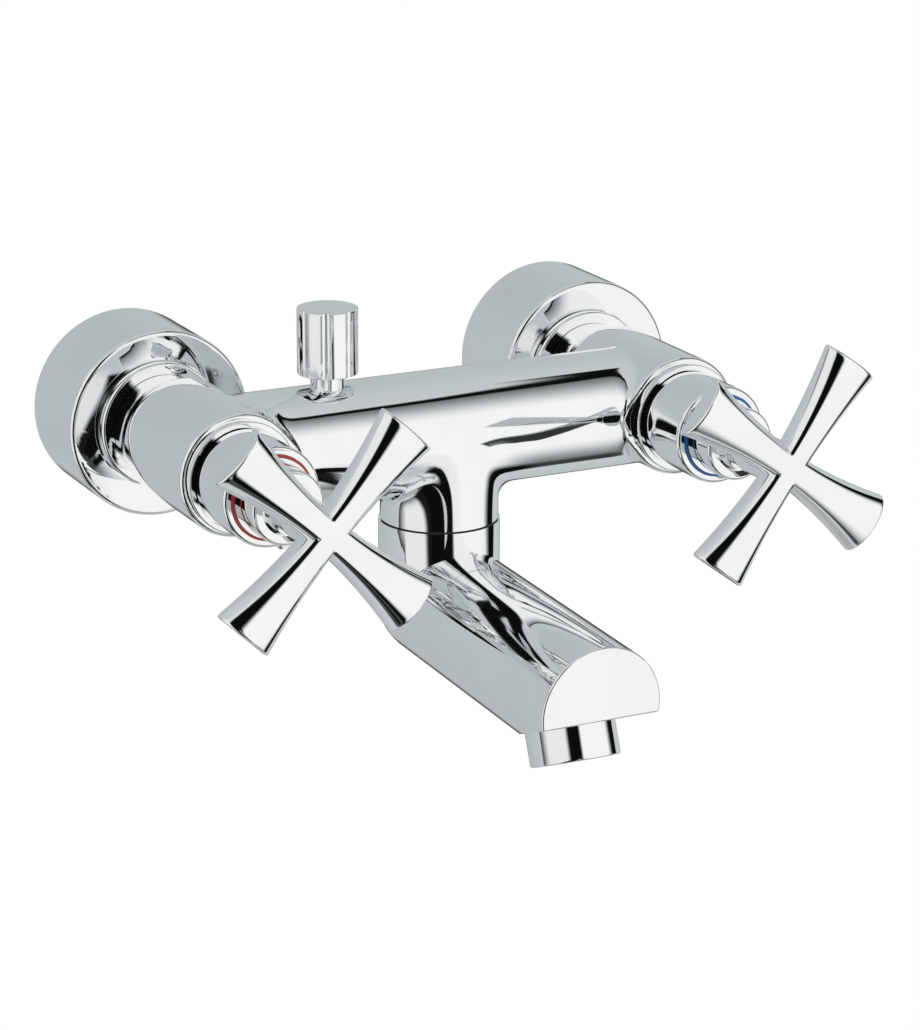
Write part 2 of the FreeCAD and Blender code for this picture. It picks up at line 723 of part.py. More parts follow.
def handle(side, place_x, index_ring, turn_angle):
    """Skirt, index ring, cross handle and its grub screw on one valve."""
    base = (place_x, ZERO, ZERO)
    turn = OUT_OF_WALL.multiply(Rotation(Vector(0, 0, 1), turn_angle.number))

    def lathe(name, corners):
        return turned(name, corners, base, turn)

    inside = d.skirt_radius - d.skirt_wall
    skirt_back = bezel_base_front + d.free_gap
    spigot_hole = d.hub_spigot_radius + d.running_fit
    recess = d.index_ring_radius + d.running_fit
    keep(lathe(f"{side}_handle_skirt", [
        (inside, skirt_back),
        (d.skirt_radius, skirt_back),
        (d.skirt_radius, d.skirt_front_depth - d.skirt_edge_radius, (d.skirt_edge_radius, 1)),
        (d.skirt_radius - d.skirt_edge_radius, d.skirt_front_depth),
        (recess, d.skirt_front_depth),
        (recess, index_ring_floor),
        (spigot_hole, index_ring_floor),
        (spigot_hole, d.skirt_front_depth - d.skirt_front_wall),
        (inside, d.skirt_front_depth - d.skirt_front_wall),
    ]), f"{side}_handle_skirt")
    keep(lathe(index_ring, tube_outline(
        spigot_hole, d.index_ring_radius, index_ring_floor, hub_shoulder)), index_ring)

    spindle_bore = d.spindle_radius + d.running_fit
    bore_end = d.spindle_tip_depth + d.free_gap
    foot_front = d.hub_front_depth + d.hub_neck_foot_length
    body = lathe(f"{side}_handle_blank", [
        (spindle_bore, d.hub_back_depth),
        (d.hub_spigot_radius, d.hub_back_depth),
        (d.hub_spigot_radius, hub_shoulder),
        (d.hub_flange_radius, hub_shoulder),
        (d.hub_flange_radius, hub_shoulder + d.hub_flange_width),
        (d.hub_radius, hub_shoulder + d.hub_flange_width),
        (d.hub_radius, d.hub_front_depth - d.hub_edge_radius, (d.hub_edge_radius, 1)),
        (d.hub_radius - d.hub_edge_radius, d.hub_front_depth),
        (d.hub_neck_foot_radius, d.hub_front_depth),
        (d.hub_neck_radius, foot_front),
        (d.hub_neck_radius, d.cross_back_depth + d.cross_side_height),
        (ZERO, d.cross_back_depth + d.cross_side_height),
        (ZERO, bore_end),
        (spindle_bore, bore_end),
    ])
    sections = [arm_section(body, f"{side}_arm_section_{index}", station, widening)
                for index, (station, widening)
                in enumerate(zip(ARM_STATION_SHARES, ARM_WIDENING_SHARES))]
    arm = body.newObject("PartDesign::AdditiveLoft", f"{side}_arm")
    arm.Profile = sections[0]
    arm.Sections = sections[1:]
    document.recompute()
    arms = body.newObject("PartDesign::PolarPattern", f"{side}_arms")
    arms.Originals = [arm]
    arms.Axis = (origin_plane(body, "Z_Axis"), [""])
    arms.Angle = FULL_TURN
    arms.Occurrences = ARM_COUNT
    body.Tip = arms
    body.Placement.Rotation = turn.multiply(Rotation(Vector(0, 0, 1), EIGHTH_TURN))

    screw_back = spindle_bore + d.running_fit
    screw_front = d.hub_radius - d.grub_recess
    screw_turn = Rotation(Vector(0, 1, 0), -turn_angle.number).multiply(
        Rotation(Vector(1, 0, 0), 2 * QUARTER_TURN))
    screw_place = (place_x, -d.grub_depth, ZERO)
    tapping = cylinder(f"{side}_handle_tapping", d.grub_radius + d.running_fit,
                       d.hub_radius + d.overrun, screw_place, screw_turn)
    tapped = drilled(f"{side}_handle_tapped", body, [tapping])
    arm_ways = (Vector(1, 0, 0), Vector(0, 1, 0), Vector(-1, 0, 0), Vector(0, -1, 0))
    arm_ends = [body.Placement.Rotation.multVec(way) * d.cross_reach.number for way in arm_ways]
    keep(rounded(f"{side}_handle_cross", tapped, d.cross_edge_radius,
                 lambda edge: is_arm_end(edge, place_x, arm_ends)), f"{side}_handle_cross")
    keep(turned(f"{side}_grub_screw", [
        (ZERO, screw_back),
        (d.grub_radius, screw_back),
        (d.grub_radius, screw_front),
        (d.grub_socket_radius, screw_front),
        (d.grub_socket_radius, screw_front - d.grub_socket_depth),
        (ZERO, screw_front - d.grub_socket_depth),
    ], screw_place, screw_turn), f"{side}_grub_screw")


def is_arm_end(edge, place_x, arm_ends):
    """True on an edge round the flat end of a handle arm."""
    middle = Vector(place_x.number, 0, 0)
    return any(all(abs((vertex.Point - middle - end).dot(end)) < d.running_fit.number
                   for vertex in edge.Vertexes) for end in arm_ends)


def body_casting():
    """The chromed casting: legs, cross tube and neck blended together, then drilled."""
    axis_y = -d.body_axis_depth
    leg_length = d.leg_front_depth - d.leg_back_depth + d.overrun * 2
    legs = [cylinder(f"{side}_leg", d.leg_radius, leg_length,
                     (place_x, d.overrun - d.leg_back_depth, ZERO), OUT_OF_WALL)
            for side, place_x in SIDES]
    tube = cylinder("cross_tube", d.tube_radius, d.inlet_spacing, (-side_reach, axis_y, ZERO),
                    ALONG_TUBE)
    neck = cylinder("neck", d.neck_radius, d.neck_bottom_drop, (ZERO, axis_y, -d.neck_bottom_drop))
    joined = fused("casting_blank", [tube, neck] + legs)
    neck_blend = rounded("neck_blend", joined, d.neck_blend_radius,
                         lambda edge: is_seam(edge)
                         and abs(edge.BoundBox.Center.x) < d.neck_radius.number)
    leg_blend = rounded("leg_blend", neck_blend, d.leg_blend_radius,
                        lambda edge: is_seam(edge) and is_leg_seam(edge))
    trim = document.addObject("Part::Common", "casting_trimmed")
    trim.Base = leg_blend
    trim.Tool = block("casting_limits", (
        d.inlet_spacing + d.overrun * 4, d.leg_front_depth - d.leg_back_depth, d.overrun * 4),
        (-side_reach - d.overrun * 2, -d.leg_front_depth, d.overrun * -2))
    eased = rounded("leg_fronts_eased", trim, d.leg_front_edge_radius,
                    lambda edge: is_leg_rim(edge, d.leg_front_depth))
    flare_radius = ((d.flare_rise * d.flare_rise + d.flare_length * d.flare_length)
                    / (d.flare_rise * 2))
    spigots = [turned(f"{side}_spigot", [
        (ZERO, spigot_back),
        (d.spigot_radius, spigot_back),
        (d.spigot_radius, d.flare_back_depth, (flare_radius, -1)),
        (d.leg_radius, d.leg_back_depth),
        (ZERO, d.leg_back_depth),
    ], (place_x, ZERO, ZERO), OUT_OF_WALL) for side, place_x in SIDES]
    outlet = [cylinder(f"outlet_{name}", radius, drop, (-d.outlet_offset, axis_y, -drop))
              for name, radius, drop in (
                  ("boss", d.outlet_boss_radius, d.outlet_boss_drop),
                  ("thread", d.outlet_thread_radius, d.outlet_tip_drop))]
    whole = fused("casting_whole", [eased] + outlet + spigots)

    tools = [cylinder("gallery", d.gallery_radius, d.inlet_spacing,
                      (-side_reach, -gallery_depth, ZERO), ALONG_TUBE)]
    for side, place_x in SIDES:
        tools += [
            cylinder(f"{side}_tail_bore", d.tail_radius + d.running_fit,
                     d.tail_grip + d.free_gap + d.overrun,
                     (place_x, d.overrun - spigot_back, ZERO), OUT_OF_WALL),
            cylinder(f"{side}_inlet_bore", d.union_bore_radius, d.valve_seat_depth - spigot_back,
                     (place_x, -spigot_back, ZERO), OUT_OF_WALL),
            cylinder(f"{side}_valve_bore", d.headwork_radius + d.running_fit,
                     d.leg_front_depth - d.valve_seat_depth + d.overrun,
                     (place_x, -d.valve_seat_depth, ZERO), OUT_OF_WALL),
        ]
    diverter_place = (-d.diverter_offset, axis_y)
    tools += [
        cylinder("diverter_bore", d.diverter_bore_radius + d.running_fit,
                 upper_seat + d.outlet_boss_drop + d.overrun,
                 (*diverter_place, -d.outlet_boss_drop - d.overrun)),
        cylinder("outlet_bore", d.outlet_bore_radius,
                 d.outlet_tip_drop - d.outlet_root_drop + d.overrun,
                 (-d.outlet_offset, axis_y, -d.outlet_tip_drop - d.overrun)),
        cylinder("diverter_throat", d.diverter_seat_radius, bush_bottom - upper_seat,
                 (*diverter_place, upper_seat)),
        cylinder("bush_tapping", d.bush_radius + d.running_fit, d.bush_length + d.overrun,
                 (*diverter_place, bush_bottom)),
        cylinder("spout_gallery", d.spout_gallery_radius, d.diverter_offset + d.spout_gallery_radius,
                 (-d.diverter_offset, -spout_gallery_depth, spout_gallery_height), ALONG_TUBE),
        cylinder("spout_drop", d.spout_gallery_radius, spout_gallery_height + d.neck_bottom_drop,
                 (ZERO, -spout_gallery_depth, -d.neck_bottom_drop)),
        cylinder("neck_socket", d.nipple_radius + d.running_fit, d.neck_socket_depth + d.overrun,
                 (ZERO, axis_y, -d.neck_bottom_drop - d.overrun)),
    ]
    keep(drilled("mixer_body", whole, tools), "mixer_body")


def is_leg_seam(edge):
    """True on a curve where the cross tube runs into a leg."""
    return abs(edge.BoundBox.Center.x) > (side_reach - d.leg_radius * 2).number


def is_leg_rim(edge, depth):
    """True on the round edge of a leg's end face at a given depth."""
    box = edge.BoundBox
    flat = abs(box.YMin + depth.number) < d.running_fit.number and box.YLength < d.running_fit.number
    return flat and isinstance(edge.Curve, Part.Circle)


def diverter():
    """Lift-up diverter: bush and its ring, stem with poppet and seals, knob, seat, check valve."""
    axis_y = -d.body_axis_depth
    base = (-d.diverter_offset, axis_y, ZERO)
    stem_bore = d.diverter_stem_radius + d.running_fit
    ring_height = bush_top - d.bush_length / 2
    ring_room = d.bush_ring_wire_radius * 2
    groove = stem_bore + ring_room
    keep(turned("diverter_bush", [
        (stem_bore, bush_bottom),
        (d.bush_radius, bush_bottom),
        (d.bush_radius, bush_top),
        (stem_bore, bush_top),
        (stem_bore, ring_height + ring_room),
        (groove, ring_height + ring_room),
        (groove, ring_height - ring_room),
        (stem_bore, ring_height - ring_room),
    ], base), "diverter_bush")
    keep(torus("diverter_o_ring", stem_bore + d.bush_ring_wire_radius,
               d.bush_ring_wire_radius - d.running_fit / 2,
               (-d.diverter_offset, axis_y, ring_height)), "diverter_o_ring")

    poppet_low = d.poppet_seal_thickness - d.diverter_seat_drop
    poppet_high = poppet_low + d.poppet_thickness
    stem_top = knob_bottom + d.knob_bore_depth - d.running_fit
    keep(turned("diverter_stem", [
        (ZERO, -d.diverter_seat_drop),
        (d.diverter_stem_radius, -d.diverter_seat_drop),
        (d.diverter_stem_radius, poppet_low),
        (d.poppet_radius, poppet_low),
        (d.poppet_radius, poppet_high),
        (d.diverter_stem_radius, poppet_high),
        (d.diverter_stem_radius, stem_top),
        (ZERO, stem_top),
    ], base), "diverter_stem")
    seals = [turned(f"diverter_{name}_seal", tube_outline(
        stem_bore, d.poppet_radius, low, low + d.poppet_seal_thickness), base)
        for name, low in (("lower", -d.diverter_seat_drop), ("upper", poppet_high))]
    keep(grouped("diverter_seals", seals), "diverter_seals")

    knob_top = knob_bottom + d.knob_height
    blank = turned("knob_blank", [
        (stem_bore, knob_bottom),
        (d.knob_radius - d.knob_edge_radius, knob_bottom, (d.knob_edge_radius, 1)),
        (d.knob_radius, knob_bottom + d.knob_edge_radius),
        (d.knob_radius, knob_top - d.knob_edge_radius, (d.knob_edge_radius, 1)),
        (d.knob_radius - d.knob_edge_radius, knob_top),
        (ZERO, knob_top),
        (ZERO, knob_bottom + d.knob_bore_depth),
        (stem_bore, knob_bottom + d.knob_bore_depth),
    ], base)
    flute_ring = d.knob_radius + d.knob_flute_radius - d.knob_flute_depth
    flutes = []
    for index in range(FLUTE_COUNT):
        angle = math.radians(index * FULL_TURN / FLUTE_COUNT + d.knob_angle.number)
        across = flute_ring * math.cos(angle)
        back = flute_ring * math.sin(angle)
        flutes.append(cylinder(f"knob_flute_{index}", d.knob_flute_radius,
                               d.knob_height + d.overrun * 2,
                               (across - d.diverter_offset, back + axis_y, knob_bottom - d.overrun)))
    keep(drilled("diverter_knob", blank, flutes), "diverter_knob")

    seat_floor = d.diverter_seat_floor - d.diverter_seat_end_drop
    seat_blank = turned("diverter_seat_blank", [
        (ZERO, -d.diverter_seat_end_drop),
        (d.diverter_bore_radius, -d.diverter_seat_end_drop),
        (d.diverter_bore_radius, -d.diverter_seat_drop),
        (d.diverter_seat_radius, -d.diverter_seat_drop),
        (d.diverter_seat_radius, seat_floor),
        (ZERO, seat_floor),
    ], base)
    window = cylinder("diverter_seat_window", d.diverter_window_radius,
                      d.diverter_bore_radius + d.overrun,
                      (-d.diverter_offset - d.diverter_bore_radius - d.overrun, axis_y,
                       -d.diverter_window_drop), ALONG_TUBE)
    keep(drilled("diverter_seat", seat_blank, [window]), "diverter_seat")
    valve_low = d.free_gap - d.outlet_tip_drop
    keep(turned("shower_check_valve", tube_outline(
        d.check_valve_bore_radius, d.outlet_bore_radius - d.running_fit,
        valve_low, valve_low + d.check_valve_length),
        (-d.outlet_offset, axis_y, ZERO)), "shower_check_valve")


def spout_swivel():
    """Fixed nipple under the neck with its O-rings and the glide ring above the spout."""
    base = (ZERO, -d.body_axis_depth, ZERO)
    floor = d.nipple_radius - d.nipple_ring_wire_radius * 2
    half_ring = d.nipple_ring_wire_radius + d.running_fit * 2
    groove_floor = d.nipple_radius - d.nipple_groove_depth
    half_groove = d.nipple_groove_width / 2
    corners = [(d.nipple_bore_radius, -d.nipple_end_drop), (d.nipple_radius, -d.nipple_end_drop)]
    for drop, half, depth in ((d.nipple_groove_drop, half_groove, groove_floor),
                              (d.nipple_lower_ring_drop, half_ring, floor),
                              (d.nipple_upper_ring_drop, half_ring, floor)):
        corners += [
            (d.nipple_radius, -drop - half),
            (depth, -drop - half),
            (depth, half - drop),
            (d.nipple_radius, half - drop),
        ]
    corners += [(d.nipple_radius, -nipple_top_drop), (d.nipple_bore_radius, -nipple_top_drop)]
    keep(turned("spout_nipple", corners, base), "spout_nipple")
    rings = [torus(f"nipple_{name}_ring", floor + d.nipple_ring_wire_radius + d.running_fit / 2,
                   d.nipple_ring_wire_radius, (ZERO, -d.body_axis_depth, -drop))
             for name, drop in (("upper", d.nipple_upper_ring_drop),
                                ("lower", d.nipple_lower_ring_drop))]
    keep(grouped("spout_o_rings", rings), "spout_o_rings")
    keep(turned("spout_glide_ring", tube_outline(
        d.nipple_radius + d.free_gap, d.glide_ring_radius, -collar_top_drop, -d.neck_bottom_drop),
        base), "spout_glide_ring")


def moved(base, direction, length):
    """A place shifted along a direction by a length."""
    return tuple(one + length * share for one, share in zip(base, direction))


def spout():
    """Swivelling spout with its slanted underside, aerator and retaining screw."""
    axis_y = -d.body_axis_depth
    heel = (ZERO, axis_y, -d.spout_axis_drop)
    slope = math.radians(d.spout_slope.number)
    ahead = Vector(0, -math.cos(slope), -math.sin(slope))
    above = Vector(0, -math.sin(slope), math.cos(slope))
    tilt = math.radians(d.spout_flat_angle.number - d.spout_slope.number)
    along_flat = Vector(0, math.cos(tilt), -math.sin(tilt))
    into_flat = Vector(0, math.sin(tilt), math.cos(tilt))
    along_spout = Rotation(Vector(1, 0, 0), QUARTER_TURN + d.spout_slope.number)
    along_underside = Rotation(Vector(1, 0, 0), -math.degrees(tilt))
    out_of_flat = Rotation(Vector(1, 0, 0), QUARTER_TURN * 2 - math.degrees(tilt))
    nose = moved(heel, ahead, d.spout_length)
    chord = moved(nose, above, -d.spout_chord_drop)
    outlet = moved(chord, along_flat, d.aerator_setback)
    socket_floor = moved(outlet, into_flat, aerator_socket_depth)

    collar = cylinder("spout_collar", d.collar_radius, d.collar_height, heel)
    barrel = cylinder("spout_barrel", d.spout_radius, d.spout_length, heel, along_spout)
    ball = document.addObject("Part::Sphere", "spout_heel")
    ball.Radius = d.spout_radius.number
    ball.setExpression("Radius", d.spout_radius.expression)
    place(ball, heel)
    joined = fused("spout_blank", [collar, barrel, ball])
    slab_width = (d.spout_radius + d.overrun) * 2
    slab_corner = moved(moved(chord, along_flat, -d.overrun), into_flat, d.overrun * -2)
    slab = block("underside_slab", (slab_width, d.spout_length, d.overrun * 2),
                 (slab_width / -2, *slab_corner[1:]), along_underside)
    shaped = drilled("spout_shaped", joined, [slab])

    def is_nose_edge(edge):
        return all(abs((vertex.Point - Vector(*(one.number for one in nose))).dot(ahead))
                   < d.running_fit.number for vertex in edge.Vertexes)

    eased = rounded("spout_eased", shaped, d.spout_edge_radius, is_nose_edge)
    screw_drop = d.nipple_groove_drop
    into_wall = Rotation(Vector(1, 0, 0), -QUARTER_TURN)
    tools = [
        cylinder("spout_socket", d.nipple_radius + d.running_fit * 2,
                 d.collar_height + d.overrun, heel),
        cylinder("waterway", d.waterway_radius, d.waterway_length, heel, along_spout),
        cylinder("aerator_socket", d.aerator_thread_radius + d.running_fit,
                 aerator_socket_depth + d.overrun, socket_floor, out_of_flat),
        cylinder("spout_screw_tapping", d.spout_screw_radius + d.running_fit,
                 d.collar_radius + d.overrun, (ZERO, axis_y, -screw_drop), into_wall),
    ]
    keep(drilled("spout", eased, tools), "spout")

    screw_end = d.collar_radius - d.grub_recess
    screw_socket = screw_end - d.grub_socket_depth
    socket_radius = d.spout_screw_radius / 2
    keep(turned("spout_retaining_screw", [
        (ZERO, d.spout_screw_tip_radius),
        (d.spout_screw_radius, d.spout_screw_tip_radius),
        (d.spout_screw_radius, screw_end),
        (socket_radius, screw_end),
        (socket_radius, screw_socket),
        (ZERO, screw_socket),
    ], (ZERO, axis_y, -screw_drop), into_wall), "spout_retaining_screw")

    inside = d.aerator_thread_radius - d.aerator_wall / 2
    rim = d.aerator_radius - d.aerator_wall
    keep(turned("aerator_housing", [
        (inside, -d.aerator_thread_length),
        (d.aerator_thread_radius, -d.aerator_thread_length),
        (d.aerator_thread_radius, ZERO),
        (d.aerator_radius, ZERO),
        (d.aerator_radius, d.aerator_height - d.aerator_edge_radius, (d.aerator_edge_radius, 1)),
        (d.aerator_radius - d.aerator_edge_radius, d.aerator_height),
        (rim, d.aerator_height),
        (rim, d.aerator_height - d.aerator_insert_recess),
        (inside, d.aerator_height - d.aerator_insert_recess),
    ], outlet, out_of_flat), "aerator_housing")
    insert_low = d.aerator_height - d.aerator_insert_recess
    cup_bore = d.aerator_gasket_bore_radius
    keep(turned("aerator_insert", [
        (cup_bore, -d.aerator_thread_length),
        (inside - d.running_fit, -d.aerator_thread_length),
        (inside - d.running_fit, insert_low),
        (ZERO, insert_low),
        (ZERO, insert_low - d.aerator_insert_floor),
        (cup_bore, insert_low - d.aerator_insert_floor),
    ], outlet, out_of_flat), "aerator_insert")
    keep(turned("aerator_gasket", tube_outline(
        d.aerator_gasket_bore_radius, d.aerator_thread_radius - d.running_fit,
        -aerator_socket_depth, -d.aerator_thread_length), outlet, out_of_flat), "aerator_gasket")


SIDES = (("left", -side_reach), ("right", side_reach))
HANDLES = (("left", -side_reach, "hot_index_ring", d.left_handle_angle),
           ("right", side_reach, "cold_index_ring", d.right_handle_angle))

for side, place_x in SIDES:
    wall_side(side, place_x)
    valve(side, place_x)
for side, place_x, index_ring, turn_angle in HANDLES:
    handle(side, place_x, index_ring, turn_angle)
body_casting()
diverter()
spout_swivel()
spout()
document.recompute()

for item in document.Objects:
    if "Invalid" in item.State or "Error" in item.State:
        raise RuntimeError(f"{item.Label} failed: {item.State}")
for node in nodes:
    if node.Shape.isNull() or not node.Shape.isValid():
        raise RuntimeError(f"{node.Label} has no valid shape")

os.makedirs("parts", exist_ok=True)
for node in nodes:
    node.Shape.exportStep(f"parts/{node.Label}.step")
    print(f"{node.Label}: {len(node.Shape.Solids)} solids, {node.Shape.Volume:.0f} mm3")
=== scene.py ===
import json
import math
from collections import namedtuple

import bmesh
import bpy
from bpy.props import FloatProperty, FloatVectorProperty, PointerProperty
from mathutils import Matrix, Vector

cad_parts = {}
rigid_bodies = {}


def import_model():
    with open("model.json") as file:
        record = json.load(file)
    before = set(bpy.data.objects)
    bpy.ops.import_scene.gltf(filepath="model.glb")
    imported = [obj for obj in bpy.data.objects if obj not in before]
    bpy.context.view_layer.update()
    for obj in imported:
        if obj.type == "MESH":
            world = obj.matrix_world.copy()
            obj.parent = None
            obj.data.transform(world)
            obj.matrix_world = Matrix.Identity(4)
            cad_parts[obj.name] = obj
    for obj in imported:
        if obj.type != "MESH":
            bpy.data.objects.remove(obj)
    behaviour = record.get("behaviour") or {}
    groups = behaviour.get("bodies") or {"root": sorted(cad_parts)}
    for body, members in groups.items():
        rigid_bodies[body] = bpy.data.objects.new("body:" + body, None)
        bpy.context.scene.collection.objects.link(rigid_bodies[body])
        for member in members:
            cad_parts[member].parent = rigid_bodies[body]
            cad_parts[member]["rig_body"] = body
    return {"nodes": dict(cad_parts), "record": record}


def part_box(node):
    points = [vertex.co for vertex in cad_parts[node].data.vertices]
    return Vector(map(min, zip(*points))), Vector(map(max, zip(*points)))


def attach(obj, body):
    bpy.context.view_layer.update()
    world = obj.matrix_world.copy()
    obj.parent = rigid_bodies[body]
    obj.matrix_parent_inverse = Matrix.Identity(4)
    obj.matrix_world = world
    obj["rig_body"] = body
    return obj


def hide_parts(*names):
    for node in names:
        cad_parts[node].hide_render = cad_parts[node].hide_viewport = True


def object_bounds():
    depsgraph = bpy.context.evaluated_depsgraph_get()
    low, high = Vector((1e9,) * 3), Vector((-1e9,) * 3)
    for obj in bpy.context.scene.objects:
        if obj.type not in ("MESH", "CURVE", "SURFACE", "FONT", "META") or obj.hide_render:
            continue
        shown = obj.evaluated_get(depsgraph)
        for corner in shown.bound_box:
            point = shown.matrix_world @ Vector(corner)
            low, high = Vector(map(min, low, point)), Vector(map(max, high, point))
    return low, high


bl_info = {
    "name": "Wall mixer tap",
    "version": (1, 0, 0),
    "blender": (4, 5, 0),
    "location": "View3D > Sidebar > Mixer tap",
    "description": "Dresses a wall mixer tap with cross handles and lights it in a small studio",
    "category": "Object",
}

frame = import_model()
CAD_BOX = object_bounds()
NODES = frame["nodes"]
SLOTS = {part["node"]: part["material_slot"] for part in frame["record"]["subparts"]}

MILLIMETRE = 0.001
# Corners closer than this are one corner, and a little wider on the mitres between the arms
MERGE_DISTANCE = 1e-6
MITRE_MERGE = 1e-5
# How far a corner may lie off a rim, a round and a blend, and still count as on it
RIM_REACH = 2e-5
SURFACE_REACH = 4e-5
BLEND_REACH = 1.5e-4
# Cosine past which a face looks the way that its surface does
FACING_SHARE = 0.8
# Search for the nearest point of a ring: first step in radians, number of steps, and shrinking
SEARCH_REACH = 0.25
SEARCH_STEPS = 28
SEARCH_SHRINK = 0.75
# A cross handle's arms, and the steps along one, round its crown, its back edges and its end
ARMS = 4
ARM_STEPS = 20
CROWN_STEPS = 16
BACK_STEPS = 5
END_STEPS = 4
# Thread ridge across one pitch, as shares of the pitch and of the thread's depth
THREAD_PROFILE = ((-0.45, 1.2), (-0.07, 0.0), (0.07, 0.0), (0.45, 1.2))
# Steps round one turn of a thread
THREAD_STEPS = 40
# Film of grease between two ceramic discs
GREASE_FILM = 3e-5
# Spacing of the cuts across the casting near its joins
SLICE_STEP = 2e-3
# Bars of the aerator's lattice to each side of its middle
LATTICE_BARS = 4
# How strongly the larger faces lead the shading
FACE_LEAD = 50
SIDES = ("left", "right")

WHITE = (1.0, 1.0, 1.0)
BLACK = (0.0, 0.0, 0.0)
FLOOR_ROUGHNESS = 0.9
# Parts of a noise's range over which a colour and a number change
COLOUR_SPAN = (0.35, 0.65)
NUMBER_SPAN = (0.3, 0.7)
# How much darker the hollows of a plain finish's grain are, and how far its roughness strays
GRAIN_SHADE = 0.12
GRAIN_STRAY = 0.15
# Plain finishes by material slot: the material's name, its colour in the settings, its roughness,
# its grain in lumps per metre, and how far it is metal or lacquered
DullFinish = namedtuple(
    "DullFinish", "name colour rough grain metallic coat", defaults=(0.0, 0.0))
DULL_FINISHES = {
    "rubber": DullFinish("sealing_rubber", "rubber", 0.55, 700),
    "steel": DullFinish("stainless_steel", "steel", 0.28, 600, metallic=1.0),
    "ceramic": DullFinish("ground_ceramic", "ceramic", 0.35, 900),
    "black_plastic": DullFinish("black_plastic", "rubber", 0.4, 800),
    "white_plastic": DullFinish("moulded_plastic", "plastic", 0.38, 800),
    "red_enamel": DullFinish("red_enamel", "hot", 0.25, 500, coat=0.5),
    "blue_enamel": DullFinish("blue_enamel", "cold", 0.25, 500, coat=0.5),
}

# Width of the camera's sensor in millimetres, and the nearest distance it sees in metres
SENSOR_WIDTH = 36.0
CAMERA_NEAR = 0.05

# Brightness at which the studio's grey walls are tinted, and from which its paper is white
WALL_LEVEL = 0.6
PAPER_LEVEL = 0.82
# Edge of a studio panel as the chrome sees it: where it lies in degrees, how softly it ends,
# and for an upright edge how far it leans over for each degree of height
Edge = namedtuple("Edge", "place soft lean", defaults=(0.0,))
# Panels of the studio, left and right in degrees from straight ahead, low and high in degrees
# above the horizon, with their brightness. Each panel lies over the ones before it.
Panel = namedtuple("Panel", "name left right low high level")
STUDIO_PANELS = (
    Panel("left wall", Edge(-260, 1), Edge(-130, 45), Edge(-90, 40), Edge(70, 35), 0.52),
    Panel("rear wall", Edge(140, 35), Edge(260, 1), Edge(-90, 40), Edge(70, 35), 0.52),
    Panel("backdrop", Edge(139, 6), Edge(167, 6), Edge(-31, 6), Edge(-4, 6), 0.04),
    Panel("floor shade", Edge(-50, 8), Edge(102, 4), Edge(-69, 3), Edge(-50, 4), 0.07),
    Panel("camera", Edge(-46, 2), Edge(-15, 1), Edge(-62, 3), Edge(40, 3), 0.004),
    Panel("right frame", Edge(-8, 1), Edge(101, 1.5), Edge(-62, 3), Edge(62.8, 0.7), 0.004),
    Panel("left frame", Edge(-111.5, 1), Edge(-40, 2), Edge(-62, 3), Edge(30, 4), 0.01),
    Panel("camera top", Edge(-46, 2), Edge(-2, 2), Edge(2, 4), Edge(40, 3), 0.004),
    Panel("right softbox", Edge(-3, 4, -0.15), Edge(76, 9), Edge(-53.5, 19), Edge(50, 21), 0.97),
    Panel("left softbox", Edge(-101, 13), Edge(-45.5, 5, 0.25), Edge(-51, 18), Edge(45, 10), 0.86),
    Panel("top border", Edge(-3, 2), Edge(101, 1.5), Edge(59.5, 0.7), Edge(62.8, 0.7), 0.004),
)


